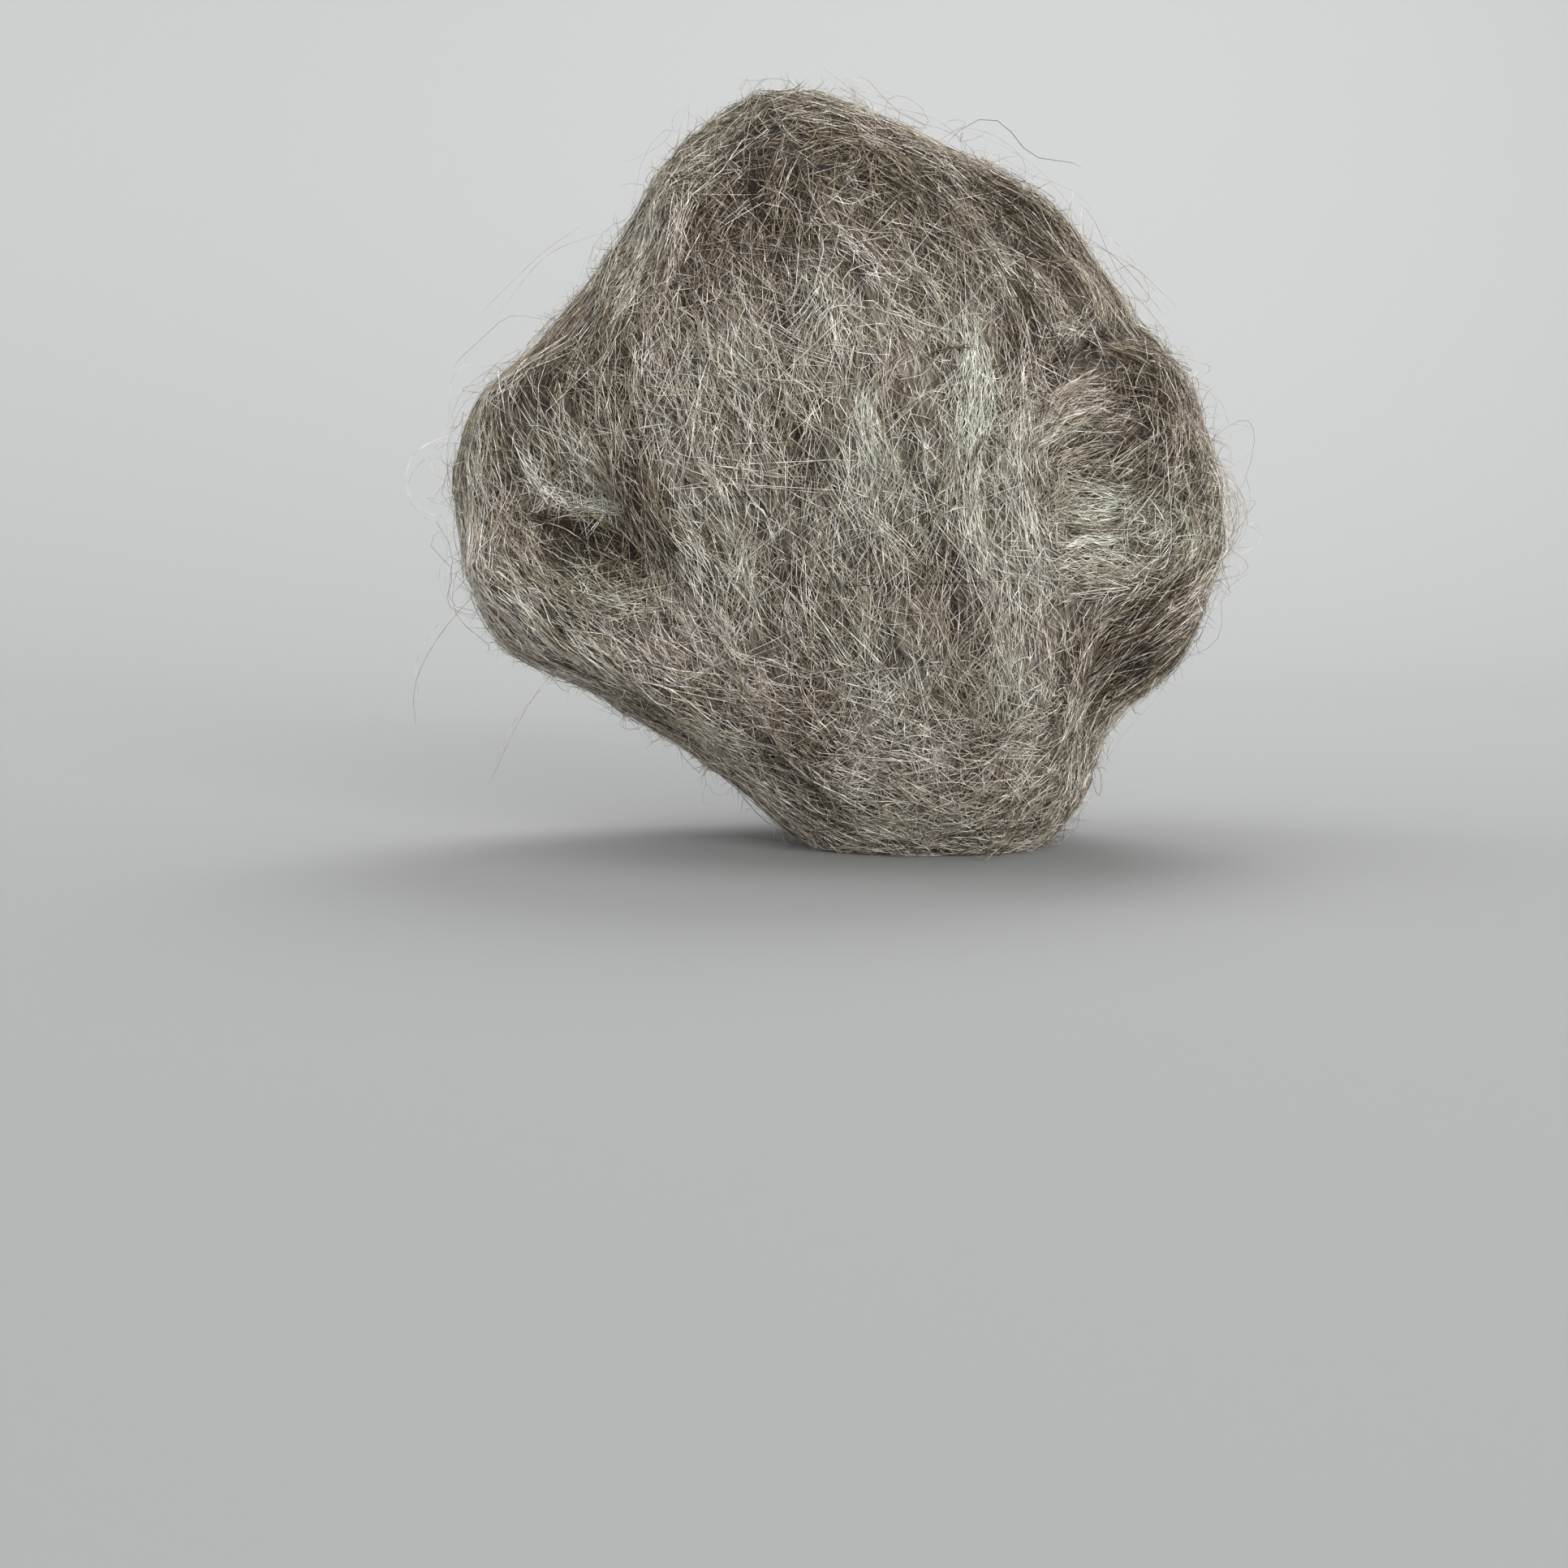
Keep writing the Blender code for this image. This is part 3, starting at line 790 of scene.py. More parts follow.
# %% Faces and map of one tube
def tube_faces(rings):
    """Triangles of one pointed tube and the map places of their corners, in a square of side 1."""
    ring, k = (part.ravel() for part in np.meshgrid(np.arange(rings - 1), np.arange(3), indexing="ij"))
    here, beside = ring * 3 + k, ring * 3 + (k + 1) % 3
    low, high = (ring + 1) / (rings + 1), (ring + 2) / (rings + 1)
    left, right = k / 3, (k + 1) / 3
    first = np.stack([here, here + 3, beside + 3], axis=1)
    second = np.stack([here, beside + 3, beside], axis=1)
    first_map = np.stack([left, low, left, high, right, high], axis=1)
    second_map = np.stack([left, low, right, high, right, low], axis=1)
    k = np.arange(3)
    root, tip = np.full(3, rings * 3), np.full(3, rings * 3 + 1)
    last = (rings - 1) * 3
    roots = np.stack([root, k, (k + 1) % 3], axis=1)
    tips = np.stack([tip, last + (k + 1) % 3, last + k], axis=1)
    left, right, middle = k / 3, (k + 1) / 3, (k + 0.5) / 3
    low, high = np.full(3, 1 / (rings + 1)), np.full(3, rings / (rings + 1))
    roots_map = np.stack([middle, 0 * low, left, low, right, low], axis=1)
    tips_map = np.stack([middle, 0 * low + 1, right, high, left, high], axis=1)
    faces = np.concatenate([first, second, roots, tips])
    return faces, np.concatenate([first_map, second_map, roots_map, tips_map]).reshape(-1, 3, 2)


def spread_on_map(map_places, count, margin=0.06):
    """One small square of the map for each fibre, in rows, each with a margin around it."""
    squares = int(np.ceil(np.sqrt(count)))
    number = np.arange(count)
    corner = np.stack([number % squares, number // squares], axis=1)[:, None, None]
    inside = margin + (1 - 2 * margin) * map_places[None]
    return ((corner + inside) / squares).reshape(-1, 2)


# %% Wrap the lines in tubes
def fibre_mesh(name, lines, outward, radius_mm, colours, first_mm):
    """A ring of three points round each inner point of a line: centre plus radius times (cos a, sin a)
    in the plane square to the line. Each end is one point. The number "run" on each point is the
    millimetres along the fibre, counted from the fibre's own first_mm. Returns the piece."""
    count, points = lines.shape[:2]
    rings = points - 2
    run = unit(np.gradient(lines, axis=1))[:, 1:-1]
    side = unit(np.cross(run, outward[:, 1:-1]))
    up = np.cross(side, run)
    turn = np.arange(3) * 2 * np.pi / 3 + np.pi / 2
    taper = np.sin(np.pi * (np.arange(rings) + 1.2) / (rings + 1.4)) ** 0.4
    size = radius_mm[:, None, None, None] * taper[None, :, None, None]
    around = np.cos(turn)[:, None] * side[:, :, None] + np.sin(turn)[:, None] * up[:, :, None]
    ring_points = (lines[:, 1:-1, None] + size * around).reshape(count, rings * 3, 3)
    fibre_points = np.concatenate([ring_points, lines[:, :1], lines[:, -1:]], axis=1)
    faces, map_places = tube_faces(rings)
    each = rings * 3 + 2
    all_faces = (faces[None] + np.arange(count)[:, None, None] * each).reshape(-1, 3)
    uv = spread_on_map(map_places, count)
    spread_colours = np.repeat(colours[:, None], each, axis=1).reshape(-1, 4)
    piece = new_piece(name, fibre_points.reshape(-1, 3), all_faces, uv, spread_colours)
    steps = np.linalg.norm(np.diff(lines, axis=1), axis=2)
    run_mm = first_mm[:, None] + np.concatenate([np.zeros((count, 1)), np.cumsum(steps, axis=1)], axis=1)
    on_rings = np.repeat(run_mm[:, 1:-1], 3, axis=1)
    on_points = np.concatenate([on_rings, run_mm[:, :1], run_mm[:, -1:]], axis=1)
    piece.data.attributes.new("run", "FLOAT", "POINT").data.foreach_set(
        "value", on_points.astype(np.float32).ravel()
    )
    return piece


# %% [markdown]
# ## Tufts
#
# Wool fibres cling together. About ten run side by side for two or three centimetres as one flat tuft,
# pale or dark as a whole, and then part. So most fibres are laid by the tuft: one guide line is walked over
# the ball, and each of its fibres takes a stretch of it, moved aside and up or down a little, with a splay
# and crimp of its own. That is quicker than walking every fibre, and it is what makes the streaks.

# %% Fibres along a guide
GUIDE_POINTS = 12


def along_guides(values, tuft, at):
    """Values at the share `at` of a guide's length, blended in a straight line between its points."""
    place = at * (GUIDE_POINTS - 1)
    low = np.clip(place.astype(int), 0, GUIDE_POINTS - 2)
    part = (place - low)[..., None]
    return values[tuft[:, None], low] * (1 - part) + values[tuft[:, None], low + 1] * part


def on_guides(rng, guides, guide_normals, guide_long, tuft, points, share, wide_mm, splay_deg, crimp_mm):
    """Fibre = stretch of a guide + side x (own place in the tuft + splay x length + crimp sine).
    Returns the lines, their normals, the shares along each fibre and each fibre's own place."""
    count = len(tuft)
    begin = (1.0 - share) * rng.random(count)
    along = steps_along(points)[None]
    at = begin[:, None] + share[:, None] * along
    lines, normals = along_guides(guides, tuft, at), unit(along_guides(guide_normals, tuft, at))
    side = unit(np.cross(lines[:, -1:] - lines[:, :1], normals))
    own = np.clip(rng.normal(size=count), -2.2, 2.2)[:, None]
    wide = wide_mm[:, None] * (0.45 + 0.55 * np.sin(np.pi * at))
    length = (guide_long[tuft] * share)[:, None]
    splay = np.tan(np.radians(np.clip(splay_deg * rng.normal(size=count), -70, 70)))[:, None]
    pitch_mm = rng.uniform(5.0, 10.0, (count, 1))
    phase = 2 * np.pi * rng.random((count, 1))
    crimp = crimp_mm[:, None] * rng.uniform(0.2, 1.5, (count, 1))
    sway = crimp * np.sin(2 * np.pi * length * along / pitch_mm + phase)
    lines = lines + side * (wide * own + splay * length * (along - 0.5) + sway)[..., None]
    return lines, normals, along, own


# %% [markdown]
# Every sort of fibre is finished in the same way. Each fibre is lifted to its height over the wool, gets a
# thickness of its own, and is coloured by the place where its middle lies. About one in six comes from the
# dark part of the fleece.

# %% Finish any fibres
KEEP_ABOVE_MM = 0.25  # over the floor
THICKNESS_SPREAD = 0.25
DARK_SHARE, DARK_TONE = 0.17, -0.50  # how many fibres are much darker, and how much
TINT_SPREAD = 0.18
RUN_ROOM_MM = 900.0  # fibres start anywhere in this stretch of the noise that mottles them


def evened(lines, rounds):
    """Each inner point of a line becomes half itself and a quarter of each neighbour, some rounds over."""
    for _ in range(rounds):
        lines = lines.copy()
        lines[:, 1:-1] = (lines[:, :-2] + 2 * lines[:, 1:-1] + lines[:, 2:]) / 4
    return lines


def finish_fibres(rng, sort, lines, normals, height, tone_lift, own_tint=0.0, rounds=0):
    """Puts lines at a height over the wool, gives each its thickness and colour, and makes the mesh.
    A patch lifts some fibres' tone more than others', so that none of it is evenly dark or pale, and
    a few fibres everywhere are much darker than the rest."""
    count, points = lines.shape[:2]
    lines = evened(place_at(unit(lines)) + normals * height[..., None], rounds)
    radius = sort.thick_mm / 2 * np.clip(rng.lognormal(0.0, THICKNESS_SPREAD, count), 0.5, 1.8)
    lines[..., 2] = np.maximum(lines[..., 2], KEEP_ABOVE_MM - HEART_MM[2])
    lift, tint = fleece_and_shade_lift(lines[:, points // 2])
    lift = lift * rng.uniform(0.3, 1.7, count) + DARK_TONE * (rng.random(count) < DARK_SHARE)
    tone = np.clip(sort.tone + lift + tone_lift + sort.spread * rng.normal(size=count), 0.02, 1.0)
    tint = np.clip(tint + own_tint + TINT_SPREAD * rng.normal(size=count), -1.0, 1.0)
    first_mm = RUN_ROOM_MM * rng.random(count)
    return fibre_mesh(sort.name, lines, normals, radius, fleece_colours(tone, tint), first_mm)


# %% [markdown]
# A tuft's guide runs straighter than its fibres. The wool lies smooth at mid-height, and more wildly at the
# foot and the crown, where the winding turns sharply.

# %% Lay tufts
GUIDE_LEAN_DEG, GUIDE_CRIMP_DEG, GUIDE_CURL_DEG = 6.0, 5.0, 16.0
TUFT_STRETCH = 2.4  # how many fibre lengths long a tuft is
TUFT_TONE_SPREAD = 0.14
FOOT_BELOW_MM, FOOT_WILDNESS = 34.0, 0.9
CROWN_ABOVE_MM, CROWN_WILDNESS = 96.0, 0.8
Tufts = namedtuple(
    "Tufts",
    "name fibres in_tuft points long_mm thick_mm wide_mm splay_deg crimp_mm lift_mm rise_mm tone spread",
)


def wildness_at(places):
    """How much more than its sort a fibre strays: 1 at mid-height, and more at the foot and the crown."""
    height = places[..., 2] + HEART_MM[2]
    foot = smooth_step((FOOT_BELOW_MM - height) / 16.0)
    crown = smooth_step((height - CROWN_ABOVE_MM) / 12.0)
    return 1.0 + FOOT_WILDNESS * foot + CROWN_WILDNESS * crown


def lay_tufts(seed, sort):
    """Guides are walked at random places, and each carries the fibres of one tuft. Height = the
    tuft's level + a crown in the tuft's middle + ends that rise with the square of their distance."""
    rng = np.random.default_rng(seed)
    tufts = sort.fibres // sort.in_tuft
    starts = even_ways(rng, tufts)
    guides, guide_normals, guide_long = walk(
        rng, starts, GUIDE_POINTS, sort.long_mm * TUFT_STRETCH,
        GUIDE_LEAN_DEG, GUIDE_CRIMP_DEG, GUIDE_CURL_DEG,
    )
    tuft = np.repeat(np.arange(tufts), sort.in_tuft)
    count = len(tuft)
    wild = wildness_at(guides[:, GUIDE_POINTS // 2])[tuft]
    share = np.clip(rng.lognormal(0.0, 0.3, count) / TUFT_STRETCH, 0.12, 0.9)
    wide = sort.wide_mm * rng.uniform(0.5, 1.5, tufts)[tuft]
    lines, normals, along, own = on_guides(
        rng, guides, guide_normals, guide_long, tuft, sort.points,
        share, wide, sort.splay_deg * wild, sort.crimp_mm * wild,
    )
    crown = np.clip(1.0 - 0.25 * own**2, 0.0, 1.0)
    level = 0.7 * rng.random(tufts)[tuft, None] + 0.4 * crown + 0.5 * rng.random((count, 1))
    free = sort.rise_mm * rng.gamma(1.0, 1.0, (count, 1)) * np.abs(2 * along - 1) ** 2
    tuft_tone = TUFT_TONE_SPREAD * rng.normal(size=tufts)[tuft]
    return finish_fibres(rng, sort, lines, normals, sort.lift_mm * level + free, tuft_tone)


# The tone column sets the deep tufts far darker than the ones over them: painted shade between the fibres.
TUFT_SORTS = [
    Tufts("deep_tufts", 21500, 10, 3, 7.0, 0.19, 1.0, 20, 0.12, 0.30, 0.05, 0.19, 0.18),
    Tufts("middle_tufts", 29000, 11, 3, 6.5, 0.140, 0.9, 28, 0.20, 0.55, 0.10, 0.56, 0.28),
    Tufts("top_tufts", 16500, 10, 4, 8.0, 0.097, 0.9, 34, 0.45, 0.80, 0.25, 0.70, 0.27),
    Tufts("long_tufts", 5000, 7, 6, 15.0, 0.092, 0.9, 21, 0.85, 0.90, 0.30, 0.71, 0.26),
]
pieces = [lay_tufts(100 + number, sort) for number, sort in enumerate(TUFT_SORTS)]


# %% [markdown]
# ## Loose fibres
#
# Over the tufts lie fibres that carding left out of line. Some cross the others in loose curls, and catch
# the light. Short ends stand out all over and make the outline soft. Some hundreds of long hairs stray off
# the ball, and a few dozen are nearly black. Each of these sorts is walked by itself.

# %% Lay loose fibres
Loose = namedtuple(
    "Loose",
    "name fibres points long_mm thick_mm lean_deg crimp_deg curl_deg "
    "low_mm high_mm arch_mm stand_mm tone spread",
)
HIGHEST_MM = 8.5


def lay_loose(seed, sort):
    """Height over the wool = own lift + arch x |sine along the fibre| + stand x along to the power 1.6.
    What stands high is lifted straight out of the heart, and what lies low square to the wool."""
    rng = np.random.default_rng(seed)
    starts = even_ways(rng, sort.fibres)
    wild = wildness_at(place_at(starts))
    lines, normals, _ = walk(
        rng, starts, sort.points, sort.long_mm, sort.lean_deg, sort.crimp_deg, sort.curl_deg, wild
    )
    count = len(lines)
    along = np.linspace(0.0, 1.0, sort.points)[None]
    lift = rng.uniform(sort.low_mm, sort.high_mm, (count, 1))
    arches = rng.uniform(0.7, 2.0, (count, 1))
    arch = sort.arch_mm * rng.gamma(1.5, 0.66, (count, 1)) * np.abs(np.sin(np.pi * arches * along))
    stand = sort.stand_mm * rng.uniform(0.1, 1.0, (count, 1)) ** 1.5 * along**1.6
    height = np.minimum(lift + arch + stand, HIGHEST_MM)
    far = smooth_step(height / 4.0)[..., None]
    outward = unit(normals * (1 - far) + unit(lines) * far)
    return finish_fibres(rng, sort, lines, outward, height, 0.0, rounds=sort.points // 4)


LOOSE_SORTS = [
    Loose("crossing_wool", 3300, 8, 11.0, 0.085, 42, 34, 190, 0.3, 1.3, 0.5, 0.5, 0.67, 0.17),
    Loose("short_ends", 7000, 4, 5.0, 0.065, 45, 30, 110, 0.2, 0.6, 0.1, 4.4, 0.62, 0.24),
    Loose("stray_hairs", 480, 10, 24.0, 0.06, 30, 28, 170, 0.3, 0.9, 3.0, 3.0, 0.54, 0.20),
    Loose("black_hairs", 70, 10, 20.0, 0.10, 22, 14, 70, 1.0, 1.7, 0.5, 0.3, 0.02, 0.02),
]
pieces += [lay_loose(200 + number, sort) for number, sort in enumerate(LOOSE_SORTS)]


# %% [markdown]
# ## Small rings
#
# At the foot and the crown, where the winding turns sharply, single fibres curl up into rings of a few
# millimetres. A ring is an open turn of a spiral in the plane that touches the wool.

# %% Lay curls
CURLS, CURL_POINTS = 450, 10
PlainSort = namedtuple("PlainSort", "name thick_mm tone spread")


def lay_curls(seed, sort):
    """Place + radius x (cos a side + sin a flow), where the radius grows by half along the curl."""
    rng = np.random.default_rng(seed)
    ways = even_ways(rng, CURLS * 3)
    likely = wildness_at(place_at(ways)) - 0.75
    ways = ways[rng.random(len(ways)) < likely][:CURLS]
    places, normal = place_at(ways), normal_at(ways)
    flow = wool_flow(places, normal)
    side = np.cross(normal, flow)
    count = len(ways)
    along = np.linspace(0.0, 1.0, CURL_POINTS)[None]
    turn = 2 * np.pi * (rng.random((count, 1)) + rng.uniform(0.5, 1.25, (count, 1)) * along)
    turn *= np.where(rng.random((count, 1)) < 0.5, -1.0, 1.0)
    radius = rng.uniform(1.1, 2.6, (count, 1)) * (0.75 + 0.5 * along)
    ring = np.cos(turn)[..., None] * side[:, None] + np.sin(turn)[..., None] * flow[:, None]
    lines = places[:, None] + radius[..., None] * ring
    height = 0.6 + 0.7 * rng.random((count, 1)) + 0.4 * np.sin(turn)
    normals = np.repeat(normal[:, None], CURL_POINTS, axis=1)
    return finish_fibres(rng, sort, lines, normals, height, 0.0)


pieces.append(lay_curls(300, PlainSort("small_curls", 0.10, 0.64, 0.16)))


# %% [markdown]
# ## Strands that stand out
#
# Some strands can be told apart from all the others: pale ones that bridge the tuck, bundles that fan out
# at the right, hairs that are nearly black. Each is drawn as a curve through a few spots in the
# front view, and carries fibres in the same manner as a tuft. The wool under a spot is found by halving:
# it lies between a depth in front of the ball and one inside it.

# %% Strands drawn
Strand = namedtuple(
    "Strand", "name spots fibres long_mm wide_mm splay_deg lift_mm tone tint", defaults=(0.0,)
)
STRANDS = [
    Strand(
        "smile over the tuck", [(-48, 65), (-47, 59), (-43, 54.5), (-38, 52.8), (-31, 54.5)],
        80, 9, 0.8, 11, 1.4, 0.82, -0.5,
    ),
    # Nearly black fibres laid as painted shade in the mouth of the tuck.
    Strand(
        "mouth of the tuck", [(-48, 52.5), (-42, 50.5), (-34.5, 47.7), (-28, 44.6)],
        90, 8, 1.0, 9, 1.0, 0.06,
    ),
    # Dark fibres laid as painted shade under the tuck.
    Strand(
        "dark arc under the tuck", [(-46, 50), (-44, 47), (-41, 44), (-38, 42.5)],
        30, 6, 0.6, 9, 0.9, 0.16, 0.1,
    ),
    Strand("across the tuck", [(-41, 54), (-36, 49), (-31, 43)], 14, 9, 1.4, 12, 2.0, 0.66, -0.3),
    Strand(
        "end of the tuck", [(-31, 58), (-30, 51), (-28, 45), (-25, 38)],
        40, 9, 1.4, 12, 1.2, 0.60, 0.1,
    ),
    Strand("lower lip", [(-42, 45), (-37, 41), (-30, 39), (-25, 40)], 60, 8, 1.6, 16, 0.9, 0.60, -0.5),
    Strand(
        "left of the tuck", [(-52, 58), (-50, 51), (-44, 44), (-36, 36)],
        60, 10, 1.6, 12, 0.9, 0.56, 0.3,
    ),
    # Dark fibres laid as painted shade in the notch of the right shoulder.
    Strand("dark notch", [(42, 84), (38.5, 79.5), (34.5, 76)], 40, 7, 0.8, 9, 1.0, 0.10, 0.1),
    Strand("rim under the notch", [(37, 76), (42, 76.5), (47, 74)], 40, 8, 1.0, 10, 1.1, 0.50, 0.1),
    Strand("fan, first", [(25.5, 65), (31, 69.5), (38.5, 73.5)], 60, 9, 0.9, 8, 1.4, 0.70),
    Strand("fan, second", [(26, 62), (32, 66), (40, 69.5)], 60, 9, 0.9, 8, 1.3, 0.68),
    Strand("fan, third", [(27, 59), (33, 62), (40, 64)], 30, 9, 0.8, 9, 1.1, 0.60),
    Strand("level bundle, high", [(27, 54.5), (34, 57), (43, 55.5)], 80, 10, 1.4, 12, 1.3, 0.72, -0.4),
    Strand("level bundle, middle", [(28, 52.5), (35, 52.5), (43, 53.5)], 44, 9, 1.1, 10, 1.2, 0.66, -0.4),
    # Dark fibres laid as painted shade in the gap between the side bundles.
    Strand("dark gap of the bundle", [(30, 51), (36, 50.3), (43, 51)], 40, 8, 0.6, 8, 1.3, 0.12),
    Strand(
        "bright line of the bundle", [(29, 48.3), (35, 49), (41, 48.6)],
        30, 9, 0.4, 4, 1.6, 0.88, -0.1,
    ),
    Strand("level bundle, low", [(29, 44.5), (36, 45.5), (44, 44.5)], 80, 9, 2.0, 12, 1.2, 0.66, -0.3),
    Strand("run, high", [(17.5, 84), (19.5, 76), (18.5, 68), (18, 60)], 60, 10, 1.5, 10, 1.0, 0.66, -0.5),
    Strand(
        "run, middle", [(21, 73), (18.5, 66), (17.5, 59), (19.5, 50), (20.5, 43)],
        60, 11, 1.2, 9, 1.0, 0.64, -0.4,
    ),
    Strand("run, low", [(22, 48), (24, 38), (24, 28), (23, 20)], 50, 11, 1.4, 9, 1.0, 0.62, -0.4),
    Strand("run, left", [(3.5, 72), (4, 65), (7, 58)], 44, 9, 1.6, 12, 0.9, 0.64, -0.7),
    Strand("shoulder, pale", [(7, 108), (14.5, 99), (22, 88)], 24, 11, 0.8, 8, 1.2, 0.60),
    Strand("knob, pale tip", [(4, 115.5), (6, 113), (8, 111)], 24, 5, 0.5, 10, 1.1, 0.80, 0.2),
    Strand("slope, pale", [(-52, 43), (-42, 34), (-31, 24), (-20, 15)], 50, 12, 1.8, 9, 1.0, 0.60, 0.2),
    # Dark fibres laid as painted shade in the crease below the crown.
    Strand(
        "dark below the crown", [(-14, 106), (-12.5, 100), (-10.5, 92)],
        40, 7, 0.8, 10, 1.0, 0.08, 0.2,
    ),
    Strand(
        "dark beside the knob", [(5, 114), (8, 109), (12.5, 103), (15.5, 98)],
        30, 8, 0.8, 9, 1.0, 0.12, 0.2,
    ),
    # Dark fibres laid as painted shade in the crease along the right edge of the last wrap.
    Strand(
        "dark edge of the last wrap", [(15.5, 99), (21, 92), (26, 84), (29, 78)],
        36, 9, 0.9, 10, 0.8, 0.12, 0.1,
    ),
    Strand("black hair, shoulder", [(23, 98), (22.5, 93), (20.5, 90)], 5, 10, 0.1, 2, 2.6, 0.0),
    Strand("black hair, loop", [(25, 93), (26.5, 87), (25, 83), (20.5, 82.5)], 5, 14, 0.1, 2, 2.6, 0.0),
    Strand("black hair, fan", [(26, 84), (30.5, 78), (32.5, 74), (31.5, 70)], 5, 12, 0.1, 2, 2.3, 0.0),
    Strand("black hair, middle", [(10, 74), (13.5, 76), (19.5, 76)], 5, 9, 0.1, 2, 2.3, 0.0),
    Strand("black hair, run", [(25, 60), (19.5, 66), (17.5, 59), (18.5, 50)], 5, 15, 0.2, 2, 2.3, 0.0),
]
print(len(STRANDS), "strands with", sum(strand.fibres for strand in STRANDS), "fibres")


# %% Lay strands
STRAND_POINTS = 8
BEFORE_BALL_MM = 64.0
HALVINGS = 14


def through_spots(spots, points):
    """So many points on the straight lines that join the spots, each line with an equal share."""
    at, knots = np.linspace(0.0, 1.0, points), np.linspace(0.0, 1.0, len(spots))
    return np.stack([np.interp(at, knots, axis) for axis in np.transpose(spots)], axis=1)


def front_ways(x, z):
    """Ways to the wool that shows at x, z in the front view. A place outside the ball and one inside
    it lie one behind the other, and the place half-way replaces the one or the other, again and again."""
    outside, inside = np.full_like(x, -BEFORE_BALL_MM), np.zeros_like(x)
    for _ in range(HALVINGS):
        y = (outside + inside) / 2
        places = np.stack([x, y, z - HEART_MM[2]], axis=-1)
        beyond = np.linalg.norm(places, axis=-1) > reach_at(unit(places))
        outside, inside = np.where(beyond, y, outside), np.where(beyond, inside, y)
    return unit(places)


def lay_strands(seed, sort):
    """Each strand's spots are joined, evened and laid on the wool as a guide for its fibres."""
    rng = np.random.default_rng(seed)
    curves = evened(np.array([through_spots(strand.spots, GUIDE_POINTS) for strand in STRANDS]), 4)
    ways = front_ways(curves[..., 0], curves[..., 1])
    guides = place_at(ways)
    guide_long = np.linalg.norm(np.diff(guides, axis=1), axis=2).sum(axis=1)
    strand_of = np.repeat(np.arange(len(STRANDS)), [strand.fibres for strand in STRANDS])
    own = {}
    for field in Strand._fields[3:]:
        own[field] = np.array([getattr(strand, field) for strand in STRANDS])[strand_of]
    fibre_long = own["long_mm"] * rng.lognormal(0.0, 0.2, len(strand_of))
    share = np.clip(fibre_long / guide_long[strand_of], 0.2, 0.98)
    lines, normals, along, _ = on_guides(
        rng, guides, normal_at(ways), guide_long, strand_of, STRAND_POINTS,
        share, own["wide_mm"], own["splay_deg"], 0.03 * own["long_mm"],
    )
    level = own["lift_mm"][:, None] * (0.7 + 0.5 * rng.random((len(lines), 1)))
    free = 0.3 * np.abs(2 * along - 1) ** 2
    return finish_fibres(rng, sort, lines, normals, level + free, own["tone"], own["tint"])


pieces.append(lay_strands(400, PlainSort("laid_strands", 0.115, 0.0, 0.15)))


# %% [markdown]
# ## Hairs that leave the ball
#
# A few hairs leave the ball altogether and come back in a wide loop, or end in the air. They are drawn as
# curves through spots in space, each as a small family of hairs that run roughly together.

# %% Draw the hairs
Flyaway = namedtuple("Flyaway", "name spots hairs apart_mm")
FLYAWAYS = [
    Flyaway("loop at the left", [(-57, -14, 66), (-66, -12, 63), (-68, -10, 56), (-60, -14, 50)], 2, 0.8),
    Flyaway(
        "arc at the lower left", [(-50, -16, 46), (-60, -14, 38), (-68, -12, 29), (-66, -12, 20)],
        2, 0.8,
    ),
    Flyaway("second arc at the lower left", [(-40, -16, 33), (-48, -14, 22), (-52, -12, 12)], 2, 1.0),
    Flyaway("fuzz at the right", [(56, -10, 62), (62, -10, 58), (63.5, -10, 52), (58, -10, 44)], 14, 1.3),
    Flyaway("wisp over the left shoulder", [(-36, -6, 98), (-46, -6, 94), (-55, -8, 84)], 2, 1.2),
    Flyaway("wisp at the knob", [(-2, -4, 116), (2, -4, 121), (9, -4, 118)], 3, 1.2),
    Flyaway("wisp at the right shoulder", [(36, -8, 97), (46, -8, 93), (52, -8, 84)], 3, 1.2),
]
FLYAWAY_POINTS = 14


def draw_flyaways(seed, thick_mm):
    """Each hair goes through its flyaway's spots, each moved at random, joined and evened."""
    rng = np.random.default_rng(seed)
    lines = []
    for flyaway in FLYAWAYS:
        for _ in range(flyaway.hairs):
            spots = np.array(flyaway.spots) + flyaway.apart_mm * rng.normal(size=(len(flyaway.spots), 3))
            lines.append(through_spots(spots, FLYAWAY_POINTS))
    lines = evened(np.array(lines), 6) - HEART_MM
    count = len(lines)
    outward = unit(lines)
    tone = np.clip(rng.normal(0.60, 0.12, count), 0.0, 1.0)
    radius = thick_mm / 2 * rng.uniform(0.8, 1.2, count)
    colours = fleece_colours(tone, np.zeros(count))
    return fibre_mesh("flyaways", lines, outward, radius, colours, RUN_ROOM_MM * rng.random(count))


pieces.append(draw_flyaways(500, 0.08))
print("triangles in all:", sum(len(piece.data.polygons) for piece in pieces) + 2 * len(net_quads))


# %% [markdown]
# ## Materials
#
# Each fibre brings its own colour as a point colour. The material adds what one fibre shows along its
# length: a weathered, uneven tone. Wool isn't glossy, but its scales give a faint pale sheen at a low
# angle.


# %% Fibre material
WOOL_FINISH = {
    "Roughness": 0.65,
    "Specular IOR Level": 0.22,
    "Sheen Weight": 0.06,
    "Sheen Roughness": 0.5,
}


def link(tree, source, target):
    """Wires one socket to another."""
    tree.links.new(source, target)


def set_inputs(node, numbers):
    """Gives each named socket of a node its number or colour."""
    for name, number in numbers.items():
        node.inputs[name].default_value = number


def wool_shader(name):
    """A new material with the finish that all of the wool shares, and its tree and shader node."""
    material = bpy.data.materials.new(name)
    material.use_nodes = True
    shader = material.node_tree.nodes["Principled BSDF"]
    set_inputs(shader, WOOL_FINISH)
    return material, material.node_tree, shader


